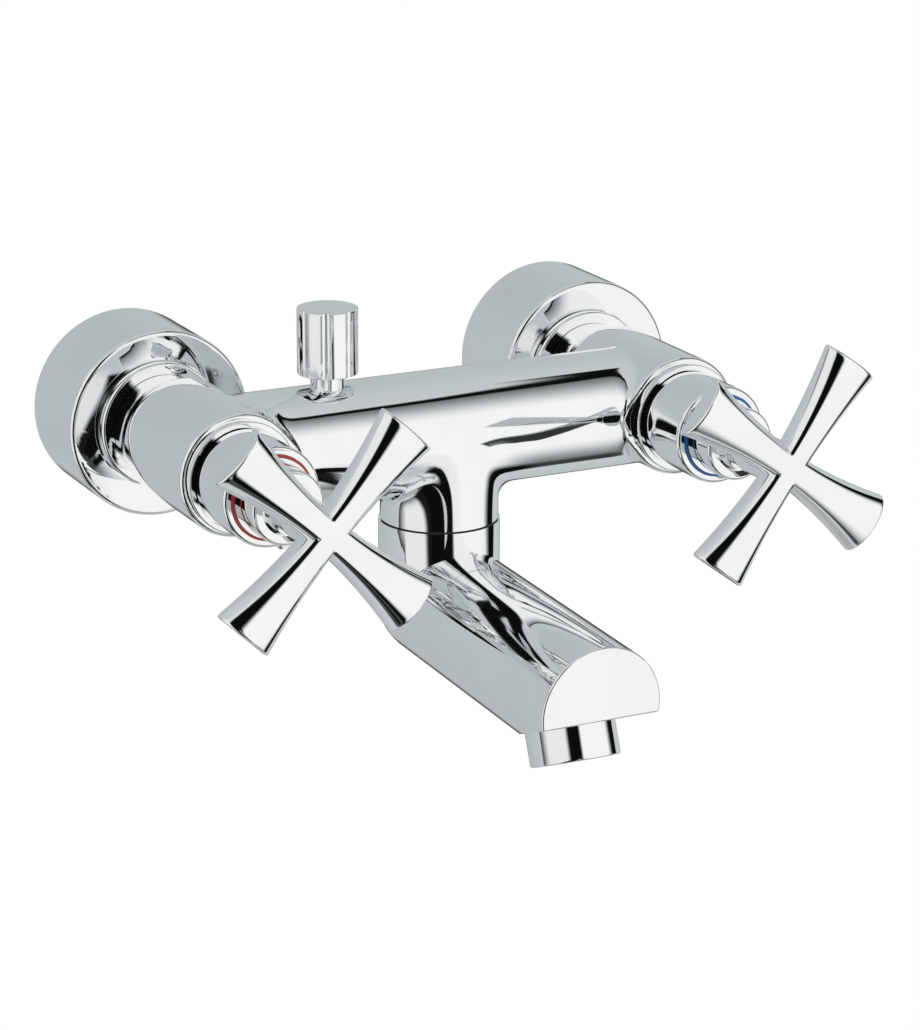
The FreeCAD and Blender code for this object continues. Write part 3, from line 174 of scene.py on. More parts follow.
class TapSizes(bpy.types.PropertyGroup):
    """Sizes of the tap's dressing and of the studio round it."""

    crease_angle: FloatProperty(
        name="Crease angle", description="Edges sharper than this stay crisp",
        default=math.radians(40), subtype="ANGLE")
    blend_crease_angle: FloatProperty(
        name="Blend crease angle", description="Edges of the casting sharper than this stay crisp",
        default=math.radians(65), subtype="ANGLE")
    leg_radius: FloatProperty(
        name="Leg radius", description="Radius of the two legs",
        default=18.9 * MILLIMETRE, unit="LENGTH")
    tube_radius: FloatProperty(
        name="Tube radius", description="Radius of the cross tube",
        default=18.7 * MILLIMETRE, unit="LENGTH")
    neck_radius: FloatProperty(
        name="Neck radius", description="Radius of the neck that carries the spout",
        default=18.4 * MILLIMETRE, unit="LENGTH")
    tube_depth: FloatProperty(
        name="Tube depth", description="From the wall to the cross tube's axis",
        default=75.0 * MILLIMETRE, unit="LENGTH")
    leg_place: FloatProperty(
        name="Leg place", description="From the middle of the tap to a leg's axis",
        default=75.0 * MILLIMETRE, unit="LENGTH")
    neck_blend: FloatProperty(
        name="Neck blend", description="Radius of the blend between tube and neck",
        default=5.5 * MILLIMETRE, unit="LENGTH")
    leg_blend: FloatProperty(
        name="Leg blend", description="Radius of the blend between tube and legs",
        default=4.5 * MILLIMETRE, unit="LENGTH")
    leg_rear_depth: FloatProperty(
        name="Leg rear depth", description="From the wall to the crisp rear rim of the legs",
        default=50.0 * MILLIMETRE, unit="LENGTH")
    neck_start: FloatProperty(
        name="Neck start", description="From the tube's axis down to where the neck comes out",
        default=4.0 * MILLIMETRE, unit="LENGTH")
    neck_end: FloatProperty(
        name="Neck end", description="From the tube's axis down to the neck's lower end",
        default=27.0 * MILLIMETRE, unit="LENGTH")
    tube_end: FloatProperty(
        name="Tube end", description="From the middle to where the tube runs into a leg",
        default=62.0 * MILLIMETRE, unit="LENGTH")
    neck_polish: FloatProperty(
        name="Neck polish", description="How far polishing softens the join of tube and neck",
        default=3.0 * MILLIMETRE, unit="LENGTH")
    leg_polish: FloatProperty(
        name="Leg polish", description="How far polishing softens the joins of tube and legs",
        default=1.2 * MILLIMETRE, unit="LENGTH")
    thread_radius: FloatProperty(
        name="Thread radius", description="Crest of the half-inch pipe threads",
        default=10.48 * MILLIMETRE, unit="LENGTH")
    thread_depth: FloatProperty(
        name="Thread depth", description="From the crest to the root of the pipe threads",
        default=1.1 * MILLIMETRE, unit="LENGTH")
    thread_pitch: FloatProperty(
        name="Thread pitch", description="From one crest of the pipe threads to the next",
        default=1.814 * MILLIMETRE, unit="LENGTH")
    union_end: FloatProperty(
        name="Union end", description="How far the wall unions reach into the wall",
        default=16.0 * MILLIMETRE, unit="LENGTH")
    union_thread: FloatProperty(
        name="Union thread", description="Length of the thread on a wall union",
        default=20.0 * MILLIMETRE, unit="LENGTH")
    outlet_place: FloatProperty(
        name="Outlet place", description="From the middle to the shower outlet",
        default=47.0 * MILLIMETRE, unit="LENGTH")
    outlet_drop: FloatProperty(
        name="Outlet drop", description="From the tube's axis down to the outlet's end",
        default=29.5 * MILLIMETRE, unit="LENGTH")
    outlet_thread: FloatProperty(
        name="Outlet thread", description="Length of the thread on the shower outlet",
        default=10.3 * MILLIMETRE, unit="LENGTH")
    lattice_bar: FloatProperty(
        name="Lattice bar", description="Width of the bars in the aerator",
        default=0.55 * MILLIMETRE, unit="LENGTH")
    lattice_rise: FloatProperty(
        name="Lattice rise", description="Height of the bars in the aerator",
        default=0.6 * MILLIMETRE, unit="LENGTH")
    arm_root_width: FloatProperty(
        name="Arm root width", description="Width of a handle arm at the hub's axis",
        default=10.0 * MILLIMETRE, unit="LENGTH")
    arm_tip_width: FloatProperty(
        name="Arm tip width", description="Width of a handle arm at its end",
        default=19.9 * MILLIMETRE, unit="LENGTH")
    arm_reach: FloatProperty(
        name="Arm reach", description="From the hub's axis to the end of an arm",
        default=37.2 * MILLIMETRE, unit="LENGTH")
    arm_flare: FloatProperty(
        name="Arm flare", description="How late an arm widens towards its end",
        default=1.75, min=1.0)
    arm_wall: FloatProperty(
        name="Arm wall", description="Height of an arm's upright side wall",
        default=1.5 * MILLIMETRE, unit="LENGTH")
    arm_crown: FloatProperty(
        name="Arm crown", description="Rise of an arm's front above its side walls",
        default=5.9 * MILLIMETRE, unit="LENGTH")
    arm_root_fullness: FloatProperty(
        name="Arm root fullness", description="How squarely an arm's front turns into its sides "
        "at the hub", default=3.0)
    arm_tip_fullness: FloatProperty(
        name="Arm tip fullness", description="How squarely an arm's front turns into its sides "
        "at the tip", default=1.85)
    arm_back_round: FloatProperty(
        name="Arm back round", description="Round on the back edges of the arms",
        default=0.9 * MILLIMETRE, unit="LENGTH")
    arm_end_round: FloatProperty(
        name="Arm end", description="Rounding of an arm's end",
        default=1.1 * MILLIMETRE, unit="LENGTH")
    cross_back_depth: FloatProperty(
        name="Cross back depth", description="From the wall to the flat back of the cross",
        default=153.0 * MILLIMETRE, unit="LENGTH")
    hot_turn: FloatProperty(
        name="Hot handle turn", description="How far the hot handle's cross leans at rest",
        default=math.radians(1.7), subtype="ANGLE")
    cold_turn: FloatProperty(
        name="Cold handle turn", description="How far the cold handle's cross leans at rest",
        default=math.radians(8.5), subtype="ANGLE")
    camera_azimuth: FloatProperty(
        name="Camera azimuth", description="Angle of the view to the right of straight ahead",
        default=math.radians(-26.688), subtype="ANGLE")
    camera_elevation: FloatProperty(
        name="Camera elevation", description="Angle of the view above the horizon",
        default=math.radians(17.375), subtype="ANGLE")
    camera_roll: FloatProperty(
        name="Camera roll", description="Lean of the picture",
        default=math.radians(0.283), subtype="ANGLE")
    camera_distance: FloatProperty(
        name="Camera distance", description="From the camera to the point it looks at",
        default=1.092318, unit="LENGTH")
    camera_target: FloatVectorProperty(
        name="Camera target", description="Point that the camera looks at",
        default=(0.014839, -0.060, -0.033874), subtype="TRANSLATION", unit="LENGTH")
    camera_lens: FloatProperty(
        name="Camera lens", description="Focal length in millimetres for the sensor's width",
        default=120.54)
    floor_drop: FloatProperty(
        name="Floor drop", description="Height of the inlets above the floor",
        default=0.45, unit="LENGTH")
    floor_side: FloatProperty(
        name="Floor side", description="Side of the square floor",
        default=0.3, unit="LENGTH")


class TapFinishes(bpy.types.PropertyGroup):
    """Colours of the tap's finishes and of the studio."""

    chrome: FloatVectorProperty(
        name="Chrome", description="Polished chrome plate", subtype="COLOR",
        default=(0.93, 0.935, 0.94), min=0.0, max=1.0)
    chrome_shade: FloatVectorProperty(
        name="Chrome shade", description="Chrome where the polish is a little thinner",
        subtype="COLOR", default=(0.90, 0.907, 0.913), min=0.0, max=1.0)
    brass: FloatVectorProperty(
        name="Brass", description="Machined brass, thinly nickelled", subtype="COLOR",
        default=(0.55, 0.48, 0.36), min=0.0, max=1.0)
    brass_shade: FloatVectorProperty(
        name="Brass shade", description="Brass with a thin tarnish", subtype="COLOR",
        default=(0.42, 0.36, 0.26), min=0.0, max=1.0)
    rubber: FloatVectorProperty(
        name="Rubber", description="Black sealing rubber", subtype="COLOR",
        default=(0.018, 0.018, 0.019), min=0.0, max=1.0)
    steel: FloatVectorProperty(
        name="Steel", description="Stainless steel of clips and screws", subtype="COLOR",
        default=(0.50, 0.50, 0.50), min=0.0, max=1.0)
    ceramic: FloatVectorProperty(
        name="Ceramic", description="Ground white ceramic", subtype="COLOR",
        default=(0.80, 0.78, 0.74), min=0.0, max=1.0)
    plastic: FloatVectorProperty(
        name="Plastic", description="White moulded plastic", subtype="COLOR",
        default=(0.78, 0.79, 0.79), min=0.0, max=1.0)
    hot: FloatVectorProperty(
        name="Hot index", description="Red enamel of the hot index ring", subtype="COLOR",
        default=(0.40, 0.03, 0.025), min=0.0, max=1.0)
    cold: FloatVectorProperty(
        name="Cold index", description="Blue enamel of the cold index ring", subtype="COLOR",
        default=(0.012, 0.10, 0.36), min=0.0, max=1.0)
    floor: FloatVectorProperty(
        name="Floor", description="Pale studio floor", subtype="COLOR",
        default=(0.80, 0.80, 0.80), min=0.0, max=1.0)
    floor_shade: FloatVectorProperty(
        name="Floor shade", description="Floor where it is a little worn", subtype="COLOR",
        default=(0.76, 0.76, 0.765), min=0.0, max=1.0)
    wall_tint: FloatVectorProperty(
        name="Wall tint", description="Cool grey of the studio walls", subtype="COLOR",
        default=(0.555, 0.6, 0.602), min=0.0, max=1.0)
    surroundings: FloatProperty(
        name="Surroundings", description="Grey of the studio walls in the chrome",
        default=0.62, min=0.0)


def sizes():
    """The sizes on the scene."""
    return bpy.context.scene.tap_sizes


def finishes():
    """The finishes on the scene."""
    return bpy.context.scene.tap_finishes


def opaque(colour):
    """A colour with full alpha, as a colour socket wants it."""
    return (*colour, 1.0)


def new_material(name):
    """A material and its principled shader, or None for the shader of one already made."""
    material = bpy.data.materials.get(name)
    if material is not None:
        return material, None
    material = bpy.data.materials.new(name)
    material.use_nodes = True
    return material, material.node_tree.nodes["Principled BSDF"]


def noise(tree, scale, detail=2.0, stretch=(1.0, 1.0, 1.0)):
    """Noise over the object's own coordinates, in lumps per metre."""
    coordinates = tree.nodes.new("ShaderNodeTexCoord")
    mapping = tree.nodes.new("ShaderNodeMapping")
    mapping.inputs["Scale"].default_value = stretch
    texture = tree.nodes.new("ShaderNodeTexNoise")
    texture.inputs["Scale"].default_value = scale
    texture.inputs["Detail"].default_value = detail
    tree.links.new(coordinates.outputs["Object"], mapping.inputs["Vector"])
    tree.links.new(mapping.outputs["Vector"], texture.inputs["Vector"])
    return texture.outputs["Fac"]


def ramp(tree, source, low, high):
    """A colour ramp between two colours over the middle of a noise."""
    node = tree.nodes.new("ShaderNodeValToRGB")
    for element, place, colour in zip(node.color_ramp.elements, COLOUR_SPAN, (low, high)):
        element.position = place
        element.color = opaque(colour)
    tree.links.new(source, node.inputs["Fac"])
    return node.outputs["Color"]


def spread(tree, source, low, high):
    """A number between low and high that follows a noise."""
    node = tree.nodes.new("ShaderNodeMapRange")
    limits = zip(("From Min", "From Max", "To Min", "To Max"), (*NUMBER_SPAN, low, high))
    for name, value in limits:
        node.inputs[name].default_value = value
    tree.links.new(source, node.inputs["Value"])
    return node.outputs["Result"]


def bump(tree, source, strength, depth):
    """A bump from a height, as a normal for the shader."""
    node = tree.nodes.new("ShaderNodeBump")
    node.inputs["Strength"].default_value = strength
    node.inputs["Distance"].default_value = depth
    tree.links.new(source, node.inputs["Height"])
    return node.outputs["Normal"]


def polished_chrome():
    """Mirror chrome with the faint cloudiness that hand polishing leaves."""
    material, shader = new_material("polished_chrome")
    if shader is None:
        return material
    tree = material.node_tree
    clouds = noise(tree, scale=60, detail=3)
    tone = ramp(tree, clouds, finishes().chrome_shade, finishes().chrome)
    shader.inputs["Metallic"].default_value = 1.0
    tree.links.new(tone, shader.inputs["Base Color"])
    tree.links.new(spread(tree, clouds, low=0.02, high=0.045), shader.inputs["Roughness"])
    return material


def machined_brass():
    """Turned brass with fine tool marks and a little tarnish."""
    material, shader = new_material("machined_brass")
    if shader is None:
        return material
    tree = material.node_tree
    clouds = noise(tree, scale=120, detail=4)
    marks = noise(tree, scale=900, detail=2, stretch=(1.0, 6.0, 1.0))
    tone = ramp(tree, clouds, finishes().brass_shade, finishes().brass)
    relief = bump(tree, marks, strength=0.15, depth=0.05 * MILLIMETRE)
    shader.inputs["Metallic"].default_value = 1.0
    tree.links.new(tone, shader.inputs["Base Color"])
    tree.links.new(spread(tree, marks, low=0.22, high=0.38), shader.inputs["Roughness"])
    tree.links.new(relief, shader.inputs["Normal"])
    return material


def dull_material(finish):
    """A plain finish whose colour, roughness and surface vary a little with its grain."""
    material, shader = new_material(finish.name)
    if shader is None:
        return material
    tree = material.node_tree
    grain = noise(tree, finish.grain, detail=4)
    colour = getattr(finishes(), finish.colour)
    hollows = [part * (1.0 - GRAIN_SHADE) for part in colour]
    roughness = spread(tree, grain, low=finish.rough * (1.0 - GRAIN_STRAY),
                       high=finish.rough * (1.0 + GRAIN_STRAY))
    relief = bump(tree, grain, strength=0.1, depth=0.03 * MILLIMETRE)
    shader.inputs["Metallic"].default_value = finish.metallic
    shader.inputs["Coat Weight"].default_value = finish.coat
    tree.links.new(ramp(tree, grain, hollows, colour), shader.inputs["Base Color"])
    tree.links.new(roughness, shader.inputs["Roughness"])
    tree.links.new(relief, shader.inputs["Normal"])
    return material


def slot_material(slot):
    """The finish that belongs to one of the record's material slots."""
    if slot == "chrome":
        return polished_chrome()
    if slot == "brass":
        return machined_brass()
    return dull_material(DULL_FINISHES[slot])


def node_body(node):
    """The moving body that a node belongs to."""
    return NODES[node]["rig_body"]


def node_slot(node):
    """The material slot that a node has in the record."""
    return SLOTS[node]


def everything(shape):
    """All the corners, edges and faces of a working mesh."""
    return shape.verts[:] + shape.edges[:] + shape.faces[:]


def only_edges(items):
    """The edges among some corners, edges and faces."""
    return [item for item in items if isinstance(item, bmesh.types.BMEdge)]


def closed_loop(shape, points):
    """The corners and edges of a new closed loop through some points."""
    verts = [shape.verts.new(point) for point in points]
    edges = [shape.edges.new(pair) for pair in zip(verts, verts[1:] + verts[:1])]
    return verts, edges


def quarter_turn(steps):
    """Angles in even steps over a quarter of a circle."""
    return [math.pi / 2 * step / steps for step in range(steps + 1)]


def even_shading(piece):
    """Lets the larger faces lead the shading, so that small edge faces don't bend it."""
    even = piece.modifiers.new("even shading", "WEIGHTED_NORMAL")
    even.mode = "FACE_AREA"
    even.weight = FACE_LEAD
    even.keep_sharp = True


def merged_copy(node):
    """A working copy of a node's mesh with its loose triangles joined up."""
    shape = bmesh.new()
    shape.from_mesh(NODES[node].data)
    bmesh.ops.remove_doubles(shape, verts=shape.verts, dist=MERGE_DISTANCE)
    return shape


def is_rear_rim(edge):
    """True on the crisp rim where a leg meets the flare behind it."""
    return all(abs(vertex.co.y + sizes().leg_rear_depth) < RIM_REACH for vertex in edge.verts)


def shade(shape, crease, rims=False):
    """Smooth faces with crisp edges wherever the surface turns sharply."""
    for face in shape.faces:
        face.smooth = True
    for edge in shape.edges:
        edge.smooth = len(edge.link_faces) == 2 and edge.calc_face_angle(0.0) < crease
        if rims and is_rear_rim(edge):
            edge.smooth = False


def stand_for(node, shape):
    """Makes the piece that stands for a node, in the node's finish and on its body."""
    mesh = bpy.data.meshes.new(f"{node}_finish")
    shape.to_mesh(mesh)
    shape.free()
    mesh.materials.clear()
    slot = node_slot(node)
    mesh.materials.append(slot_material(slot))
    piece = bpy.data.objects.new(f"{node}_finish", mesh)
    bpy.context.scene.collection.objects.link(piece)
    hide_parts(node)
    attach(piece, node_body(node))
    return piece


def nearest_on_ring(ring, point, start):
    """The point of a ring, given by its angle, that lies nearest to another point."""
    angle, reach = start, SEARCH_REACH
    for _ in range(SEARCH_STEPS):
        angle = min((angle - reach, angle, angle + reach),
                    key=lambda turn: (ring(turn) - point).length_squared)
        reach *= SEARCH_SHRINK
    return ring(angle)


def neck_blend_centre(angle):
    """Centre of the ball that rolls between tube and neck, at an angle round the neck."""
    size = sizes()
    across = size.neck_radius + size.neck_blend
    along = size.tube_radius + size.neck_blend
    return Vector((across * math.sin(angle), -size.tube_depth - across * math.cos(angle),
                   -math.sqrt(along ** 2 - (across * math.cos(angle)) ** 2)))


def leg_blend_centre(angle, side):
    """Centre of the ball that rolls between tube and leg, at an angle round the tube."""
    size = sizes()
    across = size.tube_radius + size.leg_blend
    along = size.leg_radius + size.leg_blend
    height = across * math.sin(angle)
    return Vector((side * (size.leg_place - math.sqrt(along ** 2 - height ** 2)),
                   -size.tube_depth - across * math.cos(angle), height))


def from_axes(point):
    """The ways to a point from the axes of the nearer leg, the cross tube and the neck."""
    size = sizes()
    back = point.y + size.tube_depth
    leg_place = math.copysign(size.leg_place, point.x)
    return (Vector((point.x - leg_place, 0.0, point.z)),
            Vector((0.0, back, point.z)),
            Vector((point.x, back, 0.0)))


def casting_normal(point):
    """The way the casting's surface faces at a point, or None off its tubes and blends."""
    size = sizes()
    forward = -point.y - size.tube_depth
    side = math.copysign(1.0, point.x)
    blends = []
    if abs(point.x) < size.leg_place - size.leg_radius and point.z < 0.0:
        blends.append((neck_blend_centre, math.atan2(point.x, forward), size.neck_blend))
    if abs(point.x) > size.leg_place / 2:
        blends.append((lambda angle: leg_blend_centre(angle, side),
                       math.atan2(point.z, forward), size.leg_blend))
    for ring, start, radius in blends:
        outward = nearest_on_ring(ring, point, start) - point
        if abs(outward.length - radius) < BLEND_REACH:
            return outward.normalized()
    radii = (size.leg_radius, size.tube_radius, size.neck_radius)
    for radius, outward in zip(radii, from_axes(point)):
        if abs(outward.length - radius) < SURFACE_REACH:
            return outward.normalized()
    return None


def polished_normal(point):
    """The way the casting faces at a point once its joins have been polished over."""
    size = sizes()
    from_leg, from_tube, from_neck = from_axes(point)
    # Each round with its radius, and how far the point lies past that round's end
    rounds = ((from_tube, size.tube_radius, abs(point.x) - size.tube_end),
              (from_neck, size.neck_radius, point.z + size.neck_start),
              (from_leg, size.leg_radius, 0.0))
    reach = size.neck_polish if abs(point.x) < size.leg_place / 2 else size.leg_polish
    normal = Vector()
    for outward, radius, beyond in rounds:
        gap = math.hypot(max(outward.length - radius, 0.0), max(beyond, 0.0))
        normal += outward.normalized() * math.exp(-gap / reach)
    return normal.normalized()


def slice_joins(shape):
    """Cuts the casting's long faces near its joins, so that the polish can follow them."""
    across = int(sizes().leg_place / SLICE_STEP)
    down = int(sizes().neck_end / SLICE_STEP)
    planes = [((step * SLICE_STEP, 0, 0), (1, 0, 0)) for step in range(-across, across + 1)]
    planes += [((0, 0, -step * SLICE_STEP), (0, 0, 1)) for step in range(1, down + 1)]
    for place, normal in planes:
        bmesh.ops.bisect_plane(
            shape, geom=everything(shape), dist=MERGE_DISTANCE, plane_co=place, plane_no=normal)


def even_casting(mesh):
    """Shades the casting's tubes and blends as a polisher leaves them, and no other face."""
    known = [casting_normal(vertex.co) for vertex in mesh.vertices]
    normals = [Vector()] * len(mesh.loops)
    for face in mesh.polygons:
        ways = [known[index] for index in face.vertices]
        if any(way is None or way.dot(face.normal) < FACING_SHARE for way in ways):
            continue
        for loop, index in zip(face.loop_indices, face.vertices):
            normals[loop] = polished_normal(mesh.vertices[index].co)
    mesh.normals_split_custom_set(normals)


def cut_thread(shape, foot, axis, length):
    """Turns a plain spigot down to the root of a pipe thread and winds the ridge round it."""
    size = sizes()
    for vertex in shape.verts:
        offset = vertex.co - foot
        along = offset.dot(axis)
        out = offset - axis * along
        on_thread = -RIM_REACH < along < length + RIM_REACH
        if on_thread and abs(out.length - size.thread_radius) < SURFACE_REACH:
            vertex.co -= out.normalized() * size.thread_depth
    faces_before = len(shape.faces)
    turns = int(length / size.thread_pitch) - 1
    lead = (length - turns * size.thread_pitch) / 2
    across = axis.orthogonal().normalized()
    ridge = [foot + axis * (lead + size.thread_pitch * share)
             + across * (size.thread_radius - size.thread_depth * depth)
             for share, depth in THREAD_PROFILE]
    verts, edges = closed_loop(shape, ridge)
    wound = bmesh.ops.spin(
        shape, geom=verts + edges, cent=foot, axis=axis, angle=math.tau * turns,
        dvec=axis * (size.thread_pitch / THREAD_STEPS), steps=turns * THREAD_STEPS)
    for end in (edges, only_edges(wound["geom_last"])):
        bmesh.ops.edgeloop_fill(shape, edges=end)
    shape.faces.ensure_lookup_table()
    bmesh.ops.recalc_face_normals(shape, faces=shape.faces[faces_before:])


def lowest_flat(shape):
    """Middle, normal and radius of the largest flat patch that faces down."""
    patches = {}
    for face in shape.faces:
        if face.normal.z < -FACING_SHARE:
            level = round(face.normal.dot(face.verts[0].co) / RIM_REACH)
            patches.setdefault(level, []).append(face)
    patch = max(patches.values(), key=lambda faces: sum(face.calc_area() for face in faces))
    corners = dict.fromkeys(vertex for face in patch for vertex in face.verts)
    points = [vertex.co for vertex in corners]
    middle = sum(points, Vector()) / len(points)
    return middle, patch[0].normal.copy(), max((point - middle).length for point in points)


def add_lattice(shape):
    """Crossed bars over the mouth of the aerator insert, half sunk into it."""
    size = sizes()
    middle, normal, radius = lowest_flat(shape)
    along = normal.orthogonal().normalized()
    side = normal.cross(along)
    for first, second in ((along, side), (side, along)):
        turn = Matrix((first, second, normal)).transposed().to_4x4()
        for place in range(-LATTICE_BARS, LATTICE_BARS + 1):
            shift = place * radius / (LATTICE_BARS + 1)
            length = 2 * math.sqrt(radius ** 2 - shift ** 2)
            stretch = Matrix.Diagonal((length, size.lattice_bar, 2 * size.lattice_rise, 1))
            spot = Matrix.Translation(middle + second * shift)
            bmesh.ops.create_cube(shape, size=1, matrix=spot @ turn @ stretch)
    bmesh.ops.recalc_face_normals(shape, faces=shape.faces)


def ease_rear_face(shape):
    """Takes a hair off the rear face, for the film of grease that a ceramic disc slides on."""
    rear = max(vertex.co.y for vertex in shape.verts)
    for vertex in shape.verts:
        if vertex.co.y > rear - RIM_REACH:
            vertex.co.y -= GREASE_FILM


def polished_casting(node):
    """The mixer body, with the shower outlet's thread cut and its joins polished over."""
    size = sizes()
    shape = merged_copy(node)
    slice_joins(shape)
    foot = Vector((-size.outlet_place, -size.tube_depth, -size.outlet_drop))
    cut_thread(shape, foot, Vector((0, 0, 1)), size.outlet_thread)
    shade(shape, size.blend_crease_angle, rims=True)
    even_casting(stand_for(node, shape).data)


def smooth_copy(node):
    """A merged, smoothly shaded copy of a node that stands for it."""
    size = sizes()
    shape = merged_copy(node)
    if node.endswith("wall_union"):
        place = size.leg_place if node.startswith("right") else -size.leg_place
        foot = Vector((place, size.union_end, 0))
        cut_thread(shape, foot, Vector((0, -1, 0)), size.union_thread)
    if node == "aerator_insert":
        add_lattice(shape)
    if node.endswith("moving_disc"):
        ease_rear_face(shape)
    shade(shape, size.crease_angle)
    even_shading(stand_for(node, shape))


def arm_outline(share):
    """Half of an arm's cross section at a share of its reach, from the back to the crest."""
    size = sizes()
    widening = (size.arm_tip_width - size.arm_root_width) * share ** size.arm_flare
    half = (size.arm_root_width + widening) / 2
    fullness = size.arm_root_fullness * (1 - share) + size.arm_tip_fullness * share
    power = 2 / fullness
    ease = size.arm_back_round
    back = [(half - ease + ease * math.sin(turn), ease - ease * math.cos(turn))
            for turn in quarter_turn(BACK_STEPS)]
    front = [(half * math.cos(turn) ** power,
              size.arm_wall + size.arm_crown * math.sin(turn) ** power)
             for turn in quarter_turn(CROWN_STEPS)]
    return back + front


def arm_section(shape, share):
    """The edges of an arm's cross section, standing across the arm."""
    half = arm_outline(share)
    whole = half + [(-across, height) for across, height in reversed(half[:-1])]
    along = sizes().arm_reach * share
    _, edges = closed_loop(shape, [(along, across, height) for across, height in whole])
    return edges


def cross_arms():
    """Four flared arms with crowned fronts and rounded ends, mitred on the hub's axis."""
    shape = bmesh.new()
    stations = [arm_section(shape, step / ARM_STEPS) for step in range(ARM_STEPS + 1)]
    for first, second in zip(stations, stations[1:]):
        bmesh.ops.bridge_loops(shape, edges=first + second)
    tip = sizes().arm_reach - RIM_REACH
    rim = [edge for edge in shape.edges
           if edge.is_boundary and all(vertex.co.x > tip for vertex in edge.verts)]
    bmesh.ops.edgeloop_fill(shape, edges=rim)
    bmesh.ops.bevel(
        shape, geom=rim, affect="EDGES", segments=END_STEPS, offset=sizes().arm_end_round,
        profile=0.5, material=-1, clamp_overlap=True)
    for side in (1, -1):
        bmesh.ops.bisect_plane(
            shape, geom=everything(shape), dist=MERGE_DISTANCE, plane_co=(0, 0, 0),
            plane_no=(-1, side, 0), clear_outer=True)
    bmesh.ops.spin(
        shape, geom=everything(shape), cent=(0, 0, 0), axis=(0, 0, 1), dvec=(0, 0, 0),
        angle=math.tau * (ARMS - 1) / ARMS, steps=ARMS - 1, use_duplicate=True)
    bmesh.ops.remove_doubles(shape, verts=shape.verts, dist=MITRE_MERGE)
    bmesh.ops.recalc_face_normals(shape, faces=shape.faces)
    return shape


def cross_handle(side):
    """A cross handle: the hub as it is turned, with clean arms in front of it."""
    size = sizes()
    node = f"{side}_handle_cross"
    lean = size.hot_turn if side == "left" else size.cold_turn
    low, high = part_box(node)
    hub = ((low.x + high.x) / 2, -size.cross_back_depth, (low.z + high.z) / 2)
    arms = cross_arms()
    # The arms are made lying on their backs: they are stood up, turned half a gap and leaned
    place = (Matrix.Translation(hub)
             @ Matrix.Rotation(math.pi / ARMS + lean, 4, (0, -1, 0))
             @ Matrix.Rotation(math.pi / 2, 4, "X"))
    bmesh.ops.transform(arms, matrix=place, verts=arms.verts)
    mesh = bpy.data.meshes.new("cross_arms")
    arms.to_mesh(mesh)
    arms.free()
    shape = merged_copy(node)
    cut = bmesh.ops.bisect_plane(
        shape, geom=everything(shape), dist=MERGE_DISTANCE, clear_outer=True,
        plane_co=(0, RIM_REACH - size.cross_back_depth, 0), plane_no=(0, -1, 0))
    bmesh.ops.edgeloop_fill(shape, edges=only_edges(cut["geom_cut"]))
    shape.from_mesh(mesh)
    bpy.data.meshes.remove(mesh)
    shade(shape, size.crease_angle)
    even_shading(stand_for(node, shape))


class TAP_OT_handles(bpy.types.Operator):
    """Makes the two cross handles"""

    bl_idname = "tap.handles"
    bl_label = "Cross handles"

    def execute(self, context):
        for side in SIDES:
            cross_handle(side)
        return {"FINISHED"}


class TAP_OT_castings(bpy.types.Operator):
    """Polishes the chromed pieces"""

    bl_idname = "tap.castings"
    bl_label = "Chromed pieces"

    def execute(self, context):
        for node in NODES:
            if node == "mixer_body":
                polished_casting(node)
            elif node_slot(node) == "chrome" and not node.endswith("handle_cross"):
                smooth_copy(node)
        return {"FINISHED"}


class TAP_OT_inner_pieces(bpy.types.Operator):
    """Finishes the pieces inside the tap"""

    bl_idname = "tap.inner_pieces"
    bl_label = "Inner pieces"

    def execute(self, context):
        for node in NODES:
            if node_slot(node) != "chrome":
                smooth_copy(node)
        return {"FINISHED"}


class TAP_OT_stage(bpy.types.Operator):
    """Sets the floor, the studio light and the camera"""

    bl_idname = "tap.stage"
    bl_label = "Stage"

    def execute(self, context):
        make_floor()
        make_world(context.scene)
        make_camera(context.scene)
        context.scene.view_settings.view_transform = "Standard"
        return {"FINISHED"}


def show_to_camera(tree, seen, mirrored, output):
    """Gives one shader to the camera's own rays and another to all other light."""
    path = tree.nodes.new("ShaderNodeLightPath")
    mix = tree.nodes.new("ShaderNodeMixShader")
    tree.links.new(path.outputs["Is Camera Ray"], mix.inputs["Fac"])
    tree.links.new(mirrored, mix.inputs[1])
    tree.links.new(seen, mix.inputs[2])
    tree.links.new(mix.outputs["Shader"], output.inputs["Surface"])


def make_floor():
    """A pale floor that the camera sees as plain white."""
    size = sizes()
    shape = bmesh.new()
    bmesh.ops.create_grid(shape, x_segments=1, y_segments=1, size=size.floor_side / 2)
    bmesh.ops.translate(shape, verts=shape.verts, vec=(0, CAD_BOX[0].y / 2, -size.floor_drop))
    mesh = bpy.data.meshes.new("studio_floor")
    shape.to_mesh(mesh)
    shape.free()
    floor = bpy.data.objects.new("studio_floor", mesh)
    bpy.context.scene.collection.objects.link(floor)
    material, shader = new_material("floor_paint")
    tree = material.node_tree
    paint = ramp(tree, noise(tree, scale=3), finishes().floor_shade, finishes().floor)
    tree.links.new(paint, shader.inputs["Base Color"])
    shader.inputs["Roughness"].default_value = FLOOR_ROUGHNESS
    glow = tree.nodes.new("ShaderNodeEmission")
    show_to_camera(tree, glow.outputs["Emission"], shader.outputs["BSDF"],
                   tree.nodes["Material Output"])
    mesh.materials.append(material)


